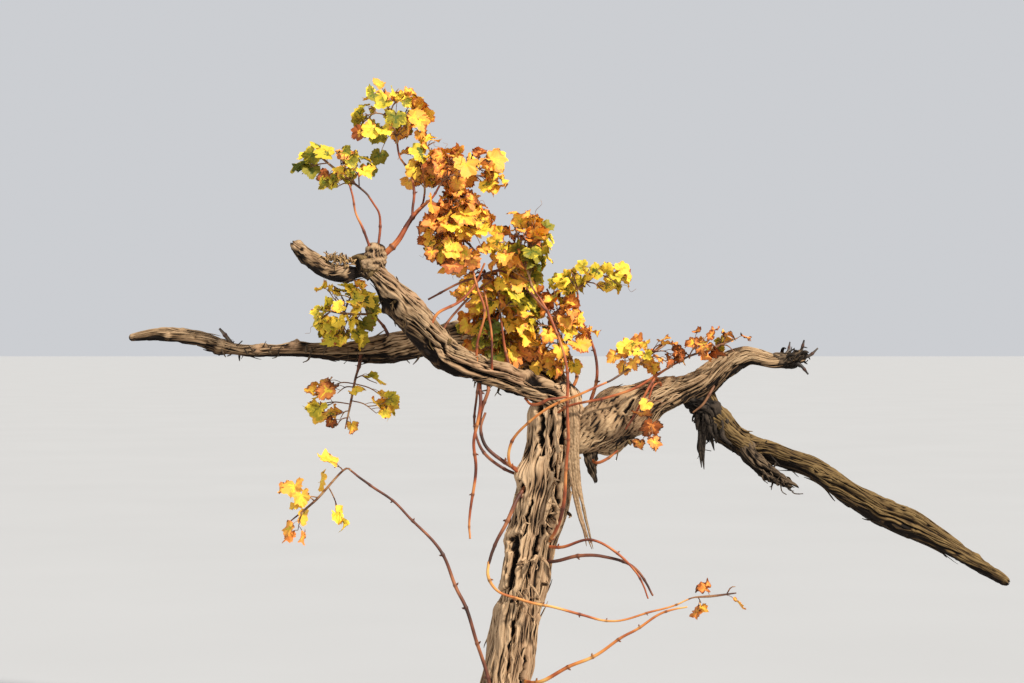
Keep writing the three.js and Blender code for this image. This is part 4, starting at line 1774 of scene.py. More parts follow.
@dataclass(frozen=True)
class LeafShape:
    """A five-lobed vine leaf: half its outline, as bearings off the midrib and reaches from its stalk."""

    half_outline: tuple[Span, ...] = (
        (0, 1.0), (6, 0.92), (11, 0.96), (17, 0.84), (23, 0.87), (31, 0.73), (38, 0.81), (44, 0.88),
        (50, 0.95), (56, 0.84), (62, 0.87), (70, 0.75), (78, 0.76), (86, 0.68), (94, 0.76), (101, 0.8),
        (108, 0.73), (116, 0.74), (126, 0.63), (136, 0.64), (148, 0.52), (159, 0.48), (170, 0.3),
        (180, 0.06),
    )
    rings: tuple[float, ...] = (0.28, 0.58, 0.82, 1.0)
    veins: tuple[float, ...] = (0, 49, -49, 104, -104)
    bend: LeafBend = LeafBend()
    vein_hold: float = 0.2
    vein_hold_width: float = 26.0
    blotch: float = 0.16
    blotch_counts: tuple[int, int] = (1, 5)
    speckle: float = 0.07
    dry_turn: float = 0.25

    def outline(self) -> tuple[np.ndarray, np.ndarray]:
        """Bearings in radians and reaches of the whole outline.

        Returns:
            The bearings and the reaches, once round from the tip.
        """
        half = np.array(self.half_outline)
        bearings = np.concatenate([half[:, 0], -half[-2:0:-1, 0]])
        reaches = np.concatenate([half[:, 1], half[-2:0:-1, 1]])
        return np.radians(bearings), reaches

    def faces(self) -> tuple[np.ndarray, np.ndarray]:
        """The middle fan of triangles, and the four-sided faces of the bands round it.

        Returns:
            The triangles and the four-sided faces, by the blade's points.
        """
        count = len(self.outline()[0])
        side = np.arange(count)
        after = (side + 1) % count
        fan = np.stack([np.zeros(count, int), 1 + side, 1 + after], -1)
        bands = []
        for band in range(len(self.rings) - 1):
            inner, outer = 1 + band * count, 1 + (band + 1) * count
            bands.append(np.stack([inner + side, outer + side, outer + after, inner + after], -1))
        return fan, np.concatenate(bands)

    def blade(self, size: float, rng: np.random.Generator, dryness: float) -> np.ndarray:
        """The blade's points, forward, sideways and up from the end of its stalk.

        Args:
            size: The length of the middle lobe.
            rng: The draws for how this leaf is bent.
            dryness: From 0 for a fresh leaf to 1 for a curled, shrivelled one.

        Returns:
            The points, the middle first and then ring by ring.
        """
        bend = self.bend
        bearings, reaches = self.outline()
        reaches = reaches * (1 + rng.uniform(-bend.uneven, bend.uneven, len(reaches)))
        shares = np.array(self.rings)[:, None]
        reach = shares * reaches[None, :]
        forward = reach * np.cos(bearings)
        sideways = reach * np.sin(bearings) * rng.uniform(*bend.narrow)
        gap = np.min(np.abs(np.degrees(bearings)[:, None] - np.array(self.veins)[None, :]), axis=1)
        vein = np.exp(-((gap / bend.vein_width) ** 2))
        pleat = (vein - 0.5) * shares * rng.uniform(*bend.pleat)
        fold = rng.uniform(*bend.fold) + bend.dry_fold_weight * dryness * rng.uniform(*bend.dry_fold)
        cup = rng.uniform(*bend.cup) + bend.dry_cup * dryness
        waves = rng.uniform(*bend.waves) * (1 + bend.dry_waves * dryness)
        count = rng.integers(*bend.wave_counts)
        ripple = waves * shares**2 * np.sin(count * bearings + rng.uniform(0, FULL_TURN))
        edge = np.sin(rng.integers(*bend.frill_counts) * bearings + rng.uniform(0, bend.frill_start))
        frill = bend.frill * (bend.fresh_curl + dryness) * shares**3 * edge
        crumple = rng.normal(scale=bend.crumple + bend.dry_crumple * dryness, size=reach.shape) * shares
        cupped = fold * np.abs(sideways) - cup * (forward**2 + bend.cup_sideways * sideways**2)
        rise = cupped + pleat + ripple + frill + crumple
        curl = rng.uniform(*bend.curl) * (bend.fresh_curl + dryness)
        rolled = np.maximum(shares - bend.roll_from, 0) ** 2 * dryness * rng.uniform(*bend.roll)
        uneven = np.sin(2 * bearings + rng.uniform(0, FULL_TURN))
        roll = rolled * (bend.roll_least + bend.roll_swing * uneven)
        pulled = bend.curl_pull * abs(curl) * np.maximum(forward, 0) ** 2
        bent_forward = forward * (1 - bend.roll_pull * roll) - pulled
        sideways = sideways * (1 - bend.roll_pull * roll)
        twist = rng.uniform(*bend.twist) * (bend.fresh_twist + dryness)
        drop = bend.curl_drop * curl * forward * np.abs(forward)
        rise = rise - drop + twist * sideways * forward + roll
        points = np.stack([bent_forward, sideways, rise], -1).reshape(-1, 3)
        return size * np.vstack([[0.0, 0.0, 0.0], points])

    def turned(self, rng: np.random.Generator, dryness: float) -> tuple[np.ndarray, np.ndarray]:
        """How far each face has turned, from 0 at the veins' foot to over 1 on a dry margin.

        Args:
            rng: The draws for the leaf's blotches.
            dryness: How dry the leaf is.

        Returns:
            The values of the middle fan's faces, and those of the bands' faces.
        """
        bearings = self.outline()[0]
        degrees = np.degrees(bearings + 0.5 * (np.roll(bearings, -1) - bearings))
        gap = np.min(np.abs((degrees[:, None] - np.array(self.veins)[None, :] + 180) % 360 - 180), axis=1)
        edges = (0.0, *self.rings)
        middles = np.array([0.5 * (low + high) for low, high in zip(edges, edges[1:])])
        count = rng.integers(*self.blotch_counts)
        blotches = self.blotch * np.sin(bearings * count + rng.uniform(0, FULL_TURN))
        held = self.vein_hold * np.minimum(gap / self.vein_hold_width, 1)
        spread = middles[:, None] + held[None] + blotches[None]
        speckles = rng.normal(scale=self.speckle, size=spread.shape)
        values = spread + speckles + self.dry_turn * (dryness - 0.5)
        return values[0], values[1:].ravel()


@dataclass(frozen=True)
class LimbField:
    """Samples of the limbs, for keeping twigs and leaves out of them."""

    centres: np.ndarray
    radii: np.ndarray

    SPACING = 0.01
    FEWEST = 12

    @classmethod
    def of(cls, routes: Sequence[Route]) -> "LimbField":
        """Samples limbs all along.

        Args:
            routes: The ways of the limbs.

        Returns:
            The samples.
        """
        counts = [max(cls.FEWEST, int(route.length / cls.SPACING)) for route in routes]
        samples = [route.at(np.linspace(0, 1, count)) for route, count in zip(routes, counts)]
        centres, _, radii = zip(*samples)
        return cls(np.concatenate(centres), np.concatenate(radii))

    def clearance(self, points: np.ndarray) -> float:
        """The least distance from some points to a limb's skin."""
        apart = np.linalg.norm(points[:, None] - self.centres[None], axis=-1) - self.radii[None]
        return float(apart.min())


@dataclass(frozen=True)
class ShootRule:
    """The rule that the solids' shoots grow by, and its finer twigs, stalks and tendrils."""

    joint_gap: float = 0.00035
    foot_radius: float = 0.0042
    stem_radius: float = 0.0032
    stem_tip_radius: float = 0.0017
    shoot_radius: float = 0.0017
    tip_radius: float = 0.0009
    lead: float = 0.012
    reach: float = 0.68
    spread: float = 0.12
    stem_reach: float = 0.72
    sway: float = 0.5
    arch: float = 0.008
    first_fork: float = 0.12
    fork_step: float = 0.06
    fork_lead: float = 0.16
    free_from: float = 0.25
    free_places: int = 8
    clearance: float = 0.002
    twig_radius: float = 0.0013
    twig_reach: float = 0.86
    twig_length: Span = (0.035, 0.085)
    twig_onward: float = 0.55
    twig_outward: float = 0.55
    twig_swing: float = 0.9
    twig_rise: float = 0.15
    twig_bend: float = 0.1
    twig_clearance: float = 0.006
    twig_tries: int = 6
    twigs_from: float = 0.3
    twigs_room: float = 0.6
    twig_stray: Span = (0.1, 0.9)
    stalk_length: Span = (0.022, 0.042)
    stalk_radius: float = 0.0008
    tendril_chance: float = 0.15
    tendril_from: float = 0.9
    tendril_length: Span = (0.025, 0.06)
    tendril_coils: Span = (0.6, 1.8)
    tendril_width: float = 0.16
    tendril_tightening: float = 1.5
    tendril_places: int = 8
    tendril_radii: Span = (0.0007, 0.0004)
    stem_leaves: tuple[float, ...] = (0.45, 0.75, 1.0)
    shoot_leaves: tuple[float, ...] = (0.5, 0.78, 1.0)
    twig_leaves: tuple[float, ...] = (0.3, 0.65, 1.0)
    stem_cut: tuple[int, float] = (7, 0.008)
    shoot_cut: tuple[int, float] = (5, 0.01)
    twig_cut: tuple[int, float] = (4, 0.01)
    stalk_cut: tuple[int, float] = (4, 0.007)
    tendril_cut: tuple[int, float] = (4, 0.004)


@dataclass(frozen=True)
class LeafRule:
    """How leaves are dealt out, stand off their twigs and hang, and how near each other they may be."""

    tries: int = 14
    late_wither: float = 0.3
    dry: Span = (0.7, 1.1)
    fresh: Span = (0.1, 0.5)
    room: Span = (0.85, 1.14)
    span_swing: float = 0.24
    shrink: float = 0.025
    lobe_share: float = 0.7
    dry_loss: float = 0.2
    stalk_outward: float = 0.6
    stalk_swing: float = 0.8
    stalk_onward: float = 0.25
    stalk_rise: float = 0.25
    stalk_sag: float = 0.12
    stalk_arch: float = 0.14
    hang_outward: float = 0.7
    hang_onward: float = 0.6
    hang_stray: float = 0.35
    hang_down: float = 0.75
    facing: Place = (0.12, -0.4, 0.5)
    facing_stray: float = 0.65
    clearance: float = 0.003
    inside_stride: int = 5
    clear_stride: int = 11
    marked_share: float = 0.66
    marked_from: float = 0.3
    marked_places: int = 15
    marked_dry: Span = (0.02, 0.2)
    marked_down: float = 0.5
    marked_facing: Place = (0.2, -1.0, 0.4)
    marked_stray: float = 0.25
    marked_back: float = 0.25
    marked_arch: float = 0.006
    nearby_steps: tuple[int, ...] = (-1, 0, 0, 0, 1)
    heart_steps: tuple[int, ...] = (1, 1, 2, 3)
    margin_steps: tuple[int, ...] = (0, 1, 1, 2)
    burnt: tuple[Tint, ...] = (Tint.RUST, Tint.BROWN, Tint.BROWN)
    turned_edges: tuple[float, ...] = (0.36, 0.92, 1.2)


SHOOT_RULE = ShootRule()
LEAF_RULE = LeafRule()
LEAF_SHAPE = LeafShape()


def arched(start: np.ndarray, bend: np.ndarray, end: np.ndarray, radius: float, tip: float) -> Route:
    """A twig's way through three places, with its radius at the first two and at its tip."""
    return Route([(*start, radius), (*bend, radius), (*end, tip)])


def hung(blade: np.ndarray, base: np.ndarray, forward: np.ndarray, facing: np.ndarray) -> np.ndarray:
    """A leaf blade's points, moved to its base and turned to its two directions."""
    across = unit(np.cross(facing, forward))
    return base + blade @ np.stack([forward, across, np.cross(forward, across)])


@dataclass
class Cluster:
    """One cluster of leaves: a stem from its cane, shoots, finer twigs, stalks and leaves."""

    name: str
    bearer: str
    slot: str
    centre: Place
    radii: Place
    shoots: int
    seed: int
    palette: dict[Tint, float]
    twigs_per_shoot: int = 2
    leaf_span: float = 0.06
    crowding: float = 0.36
    withered: float = 0.35
    marked: Sequence[tuple[Station, Tint]] = ()
    rng: np.random.Generator = field(init=False)
    leaf_points: list[np.ndarray] = field(init=False, default_factory=list)
    leaves: Shell = field(init=False, default_factory=Shell)
    twigs: Shell = field(init=False, default_factory=Shell)

    NUDGE = 0.001
    TWIG_NUDGE = 0.01

    def __post_init__(self) -> None:
        """Seeds the draws of the finer twigs and the leaves."""
        self.rng = np.random.default_rng(self.seed)

    def outward_to(self, point: np.ndarray) -> np.ndarray:
        """The way from the middle of the space to a point, with 1 as its length on the surface."""
        return (point - np.array(self.centre)) / np.array(self.radii)

    def swing(self, heading: np.ndarray) -> np.ndarray:
        """A drawn direction square to a twig's."""
        return unit(np.cross(heading, self.rng.normal(size=3)))

    def drawn_tint(self) -> Tint:
        """A tint drawn from the cluster's palette."""
        tints, weights = zip(*self.palette.items())
        return tints[int(self.rng.choice(len(tints), p=np.array(weights) / sum(weights)))]

    def stem(self, foot: Route) -> Route:
        """The stem: straight on from the cane's end, and through the middle to the far side.

        Args:
            foot: The cane that bears the cluster.

        Returns:
            The stem's way.
        """
        rule = SHOOT_RULE
        point, heading, radius = foot.at(1.0)
        start = point + rule.joint_gap * heading
        lead = start + rule.lead * heading
        away = -unit(self.outward_to(start))
        far = np.array(self.centre) + away * np.array(self.radii) * rule.stem_reach
        thick = min(float(radius), rule.foot_radius)
        middle, tip = (*self.centre, rule.stem_radius), (*far, rule.stem_tip_radius)
        return Route([(*point, thick), (*lead, thick), middle, tip])

    def shoot(self, stem: Route, index: int, sequence: SeededSequence) -> Route:
        """One shoot, from the nearest part of the stem towards a place on the surface of the space.

        Args:
            stem: The way of the stem.
            index: The shoot's number.
            sequence: The solids' own sequence of numbers.

        Returns:
            The shoot's way.
        """
        rule = SHOOT_RULE
        height = 1 - (2 * index + 1) / self.shoots
        ring = math.sqrt(1 - height * height)
        bearing = GOLDEN_ANGLE * index + sequence.jitter(rule.sway)
        outward = np.array([ring * math.cos(bearing), ring * math.sin(bearing), height])
        span = rule.reach + sequence.jitter(rule.spread)
        end = np.array(self.centre) + outward * np.array(self.radii) * span
        places = np.arange(rule.first_fork, 1, rule.fork_step)
        nearest = places[int(np.argmin(np.linalg.norm(stem.at(places)[0] - end, axis=1)))]
        fork = stem.at(max(rule.first_fork, float(nearest) - rule.fork_lead))[0]
        bend = (fork + end) / 2 + rule.arch * UP
        return arched(fork, bend, end, rule.shoot_radius, rule.tip_radius)

    def fine_twig(self, shoot: Route, share: float, limbs: LimbField) -> Route | None:
        """A finer twig off a shoot, kept inside the space and clear of the limbs.

        Args:
            shoot: The shoot that it leaves.
            share: Where on the shoot.
            limbs: What it keeps clear of.

        Returns:
            The twig's way, or None where it finds no room.
        """
        rule = SHOOT_RULE
        start, heading, _ = shoot.at(share)
        outward = rule.twig_outward * unit(self.outward_to(start) + self.NUDGE)
        for _ in range(rule.twig_tries):
            swing = rule.twig_swing * self.swing(heading)
            way = unit(rule.twig_onward * heading + outward + swing + rule.twig_rise * UP)
            length = self.rng.uniform(*rule.twig_length)
            end = start + way * length
            inside = np.linalg.norm(self.outward_to(end)) < rule.twig_reach
            if inside and limbs.clearance(end[None]) > rule.twig_clearance:
                sideways = unit(np.cross(way, heading) + self.TWIG_NUDGE)
                bend = (start + end) / 2 + rule.twig_bend * length * sideways
                return arched(start, bend, end, rule.twig_radius, rule.tip_radius)
        return None

    def add_stalk(self, node: np.ndarray, base: np.ndarray, arch: float) -> None:
        """Adds one leaf's stalk, from its node to the base of its blade.

        Args:
            node: Where it leaves its twig.
            base: Where the blade starts.
            arch: How far its middle is raised.
        """
        bend = (node + base) / 2 + arch * UP
        way = arched(node, bend, base, SHOOT_RULE.stalk_radius, SHOOT_RULE.stalk_radius)
        add_twig(self.twigs, way, *SHOOT_RULE.stalk_cut)

    def add_leaf(self, twig: Route, share: float, tint: Tint, limbs: LimbField) -> None:
        """Grows one leaf with its stalk, where it finds room.

        Args:
            twig: The twig that it grows on.
            share: Where on the twig.
            tint: The tint of its spray.
            limbs: What it keeps clear of.
        """
        rule = LEAF_RULE
        node, heading, _ = twig.at(share)
        late = rule.late_wither if tint.value >= Tint.ORANGE.value else 0.0
        shrivelled = self.rng.uniform() < self.withered + late
        dry = float(self.rng.uniform(*(rule.dry if shrivelled else rule.fresh)))
        room = self.rng.uniform(*rule.room)
        outward = unit(self.outward_to(node) + self.NUDGE)
        for attempt in range(rule.tries):
            swung = 1 + self.rng.uniform(-rule.span_swing, rule.span_swing)
            span = self.leaf_span * swung * (1 - rule.shrink * attempt)
            size = rule.lobe_share * span * (1 - rule.dry_loss * dry)
            sideways = rule.stalk_outward * outward + rule.stalk_swing * self.swing(heading)
            stalk_way = unit(sideways + rule.stalk_onward * heading + rule.stalk_rise * UP)
            stalk = self.rng.uniform(*SHOOT_RULE.stalk_length)
            base = node + stalk_way * stalk - rule.stalk_sag * stalk * UP
            stray = self.rng.normal(scale=rule.hang_stray, size=3)
            onward = rule.hang_outward * outward + rule.hang_onward * stalk_way
            forward = unit(onward + stray - rule.hang_down * UP)
            facing = unit(outward + self.rng.normal(scale=rule.facing_stray, size=3) + rule.facing)
            points = hung(LEAF_SHAPE.blade(size, self.rng, dry), base, forward, facing)
            middle = points.mean(0)
            outermost = np.linalg.norm(self.outward_to(points[:: rule.inside_stride]), axis=1).max()
            apart = self.crowding * span
            spaced = all(np.linalg.norm(middle - other) > apart for other in self.leaf_points)
            if outermost >= room or not spaced:
                continue
            if limbs.clearance(points[:: rule.clear_stride]) > rule.clearance:
                self.leaf_points.append(middle)
                self.colour_leaf(points, tint, dry)
                self.add_stalk(node, base, rule.stalk_arch * stalk)
                return

    def add_marked_leaf(self, mark: Station, tint: Tint, bearers: Sequence[Route]) -> None:
        """Grows one fresh leaf at a marked place, from the nearest place on a shoot.

        Args:
            mark: The leaf's middle and its span.
            tint: Its tint.
            bearers: The stem and the shoots.
        """
        rule = LEAF_RULE
        middle, size = np.array(mark[:3]), rule.marked_share * mark[3]
        places = np.linspace(rule.marked_from, 1, rule.marked_places)
        nodes = np.concatenate([route.at(places)[0] for route in bearers])
        node = nodes[int(np.argmin(np.linalg.norm(nodes - middle, axis=1)))]
        dry = float(self.rng.uniform(*rule.marked_dry))
        forward = unit(unit(middle - node) - rule.marked_down * UP)
        facing = unit(rule.marked_facing + self.rng.normal(scale=rule.marked_stray, size=3))
        base = middle - rule.marked_back * size * forward
        points = hung(LEAF_SHAPE.blade(size, self.rng, dry), base, forward, facing)
        self.leaf_points.append(middle)
        self.colour_leaf(points, tint, dry)
        self.add_stalk(node, base, rule.marked_arch)

    def colour_leaf(self, points: np.ndarray, tint: Tint, dry: float) -> None:
        """Adds one leaf's faces, with its heart, blade and margin each in a tint.

        Args:
            points: The leaf's points.
            tint: The tint of its spray.
            dry: How dry the leaf is.
        """
        rule, last = LEAF_RULE, len(Tint) - 1
        blade = min(max(tint.value + int(self.rng.choice(rule.nearby_steps)), 0), last)
        heart = max(blade - int(self.rng.choice(rule.heart_steps)), 0)
        margin = min(blade + int(self.rng.choice(rule.margin_steps)), last)
        burnt = int(self.rng.choice([shade.value for shade in rule.burnt]))
        tints = np.array([heart, blade, margin, burnt])
        turned = LEAF_SHAPE.turned(self.rng, dry)
        groups = [tints[np.digitize(values, rule.turned_edges)] for values in turned]
        self.leaves.add(points, LEAF_SHAPE.faces(), groups)

    def add_tendril(self, twig: Route) -> None:
        """Adds one thin tendril, which winds off the end of a twig.

        Args:
            twig: The twig that it winds off.
        """
        rule = SHOOT_RULE
        start, heading, _ = twig.at(rule.tendril_from)
        side = self.swing(heading)
        other = np.cross(heading, side)
        length, coils = self.rng.uniform(*rule.tendril_length), self.rng.uniform(*rule.tendril_coils)
        marks = np.linspace(0, 1, rule.tendril_places)[:, None]
        angle = FULL_TURN * coils * marks**rule.tendril_tightening
        winding = rule.tendril_width * length * marks * (np.cos(angle) * side + np.sin(angle) * other)
        places = start + heading * length * marks + winding
        radii = np.linspace(*rule.tendril_radii, rule.tendril_places)[:, None]
        add_twig(self.twigs, Route(np.hstack([places, radii])), *rule.tendril_cut)

    def grow_shoot(self, shoot: Route, limbs: LimbField) -> None:
        """Grows one shoot's leaves and its finer twigs.

        Args:
            shoot: The shoot's way.
            limbs: What its twigs and leaves keep clear of.
        """
        rule = SHOOT_RULE
        tint = self.drawn_tint()
        add_twig(self.twigs, shoot, *rule.shoot_cut)
        for share in rule.shoot_leaves:
            self.add_leaf(shoot, share, tint, limbs)
        for number in range(self.twigs_per_shoot):
            step = number + self.rng.uniform(*rule.twig_stray)
            place = rule.twigs_from + rule.twigs_room * step / self.twigs_per_shoot
            twig = self.fine_twig(shoot, place, limbs)
            if twig is None:
                continue
            add_twig(self.twigs, twig, *rule.twig_cut)
            for share in rule.twig_leaves:
                self.add_leaf(twig, share, tint, limbs)
            if self.rng.uniform() < rule.tendril_chance:
                self.add_tendril(twig)

    def grow(self, foot: Route, limbs: LimbField) -> None:
        """Grows the whole cluster.

        Args:
            foot: The cane that bears it.
            limbs: What its twigs and leaves keep clear of.
        """
        rule = SHOOT_RULE
        sequence = SeededSequence(self.seed)
        stem = self.stem(foot)
        shoots = [self.shoot(stem, index, sequence) for index in range(self.shoots)]
        add_twig(self.twigs, stem, *rule.stem_cut)
        for mark, tint in self.marked:
            self.add_marked_leaf(mark, tint, [stem, *shoots])
        for share in rule.stem_leaves:
            self.add_leaf(stem, share, self.drawn_tint(), limbs)
        free_places = np.linspace(rule.free_from, 1, rule.free_places)
        for shoot in shoots:
            if limbs.clearance(shoot.at(free_places)[0]) >= rule.clearance:
                self.grow_shoot(shoot, limbs)

    def dress(self, finishes: Finishes) -> None:
        """Makes the cluster's two pieces and gives them their tints.

        Args:
            finishes: The materials, by name.
        """
        tints = [finishes[finish.name] for finish in LEAF_FINISHES]
        finished(self.leaves.piece(f"{self.name}_blades", tints), self.slot, [self.name])
        finished(self.twigs.piece(f"{self.name}_twigs", [finishes["young_cane"]]), "cane")
        log.info("  %d leaves, %d twigs and stalks", len(self.leaf_points), len(self.twigs.points))


class LampKind(Enum):
    """The kinds of light: one that reaches everything evenly, and a square soft one."""

    SUN = "SUN"
    AREA = "AREA"


@dataclass(frozen=True)
class Lamp:
    """One light. Its size is the length of its side, or how wide it looks from the vine, in radians."""

    name: str
    kind: LampKind
    place: Place
    target: Place
    size: float
    power: float
    colour: Colour

    def hang(self) -> None:
        """Adds the light to the scene, aimed at its target."""
        light = bpy.data.lights.new(self.name, self.kind.value)
        light.energy = self.power
        light.color = self.colour
        if self.kind is LampKind.SUN:
            light.angle = self.size
        else:
            light.shape = "SQUARE"
            light.size = self.size
        way = unit(np.array(self.target) - np.array(self.place))
        holder = bpy.data.objects.new(self.name, light)
        holder.location = self.place
        holder.rotation_euler = (math.acos(-way[2]), 0.0, math.atan2(way[1], way[0]) - math.pi / 2)
        bpy.context.scene.collection.objects.link(holder)


@dataclass(frozen=True)
class Studio:
    """The pale floor, the lights and the camera at the photograph's viewing angle."""

    floor_size: float = 300.0
    floor_colour: Colour = (0.42, 0.425, 0.43)
    cloud_colour: Colour = (0.4074, 0.41225, 0.4171)
    cloud_scale: float = 0.8
    cloud_edge: Span = (0.3, 0.7)
    floor_roughness: float = 0.9
    room_colour: tuple[float, ...] = (0.86, 0.88, 0.92, 1.0)
    room_light: float = 0.7
    camera_place: Place = (0.0675, -5.5, 1.04625)
    lens: float = 77.34
    sensor: float = 36.0
    lamps: tuple[Lamp, ...] = (
        Lamp("key", LampKind.SUN, (3.4, -3.2, 4.2), (0, 0, 0), 0.08, 5.2, (1.0, 0.94, 0.85)),
        Lamp("fill", LampKind.AREA, (-3.6, -3.4, 2.2), (0.1, 0, 1.0), 2.6, 34, (0.92, 0.95, 1.0)),
    )

    def add_floor(self) -> None:
        """Lays the floor."""
        half = self.floor_size / 2
        corners = np.array([[-half, -half, 0], [half, -half, 0], [half, half, 0], [-half, half, 0]])
        sheet = NodeSheet("pale_floor")
        place = sheet.node("ShaderNodeTexCoord").outputs["Object"]
        clouds = sheet.noise(place, self.cloud_scale, 2.0)
        colour = sheet.ramp(clouds, tuple(zip(self.cloud_edge, (self.cloud_colour, self.floor_colour))))
        sheet.feed(sheet.shader.inputs["Base Color"], colour)
        sheet.feed(sheet.shader.inputs["Roughness"], self.floor_roughness)
        shell = Shell()
        shell.add(corners, [np.array([[0, 1, 2, 3]])])
        shell.piece("floor", [sheet.material])

    def light_room(self) -> None:
        """Hangs the lamps, and lights the room."""
        for lamp in self.lamps:
            lamp.hang()
        world = bpy.data.worlds.new("studio")
        world.use_nodes = True
        background = world.node_tree.nodes["Background"]
        background.inputs["Color"].default_value = self.room_colour
        background.inputs["Strength"].default_value = self.room_light
        bpy.context.scene.world = world

    def add_camera(self) -> None:
        """Sets up the camera."""
        camera = bpy.data.cameras.new("camera")
        camera.lens = self.lens
        camera.sensor_width = self.sensor
        holder = bpy.data.objects.new("camera", camera)
        holder.location = self.camera_place
        holder.rotation_euler = (math.pi / 2, 0, 0)
        bpy.context.scene.collection.objects.link(holder)
        bpy.context.scene.camera = holder

    def build(self) -> None:
        """Sets up the whole studio."""
        self.add_floor()
        self.light_room()
        self.add_camera()
        bpy.context.scene.view_settings.view_transform = "Standard"


ARM_HOLLOW = ((0.115, 0.949), (0.14, 0.937), (0.17, 0.917))

SPUR_SHADOW = Groove(((-0.322, 1.24), (-0.318, 1.215), (-0.305, 1.19)), 0.014, 0.008, 0.001)

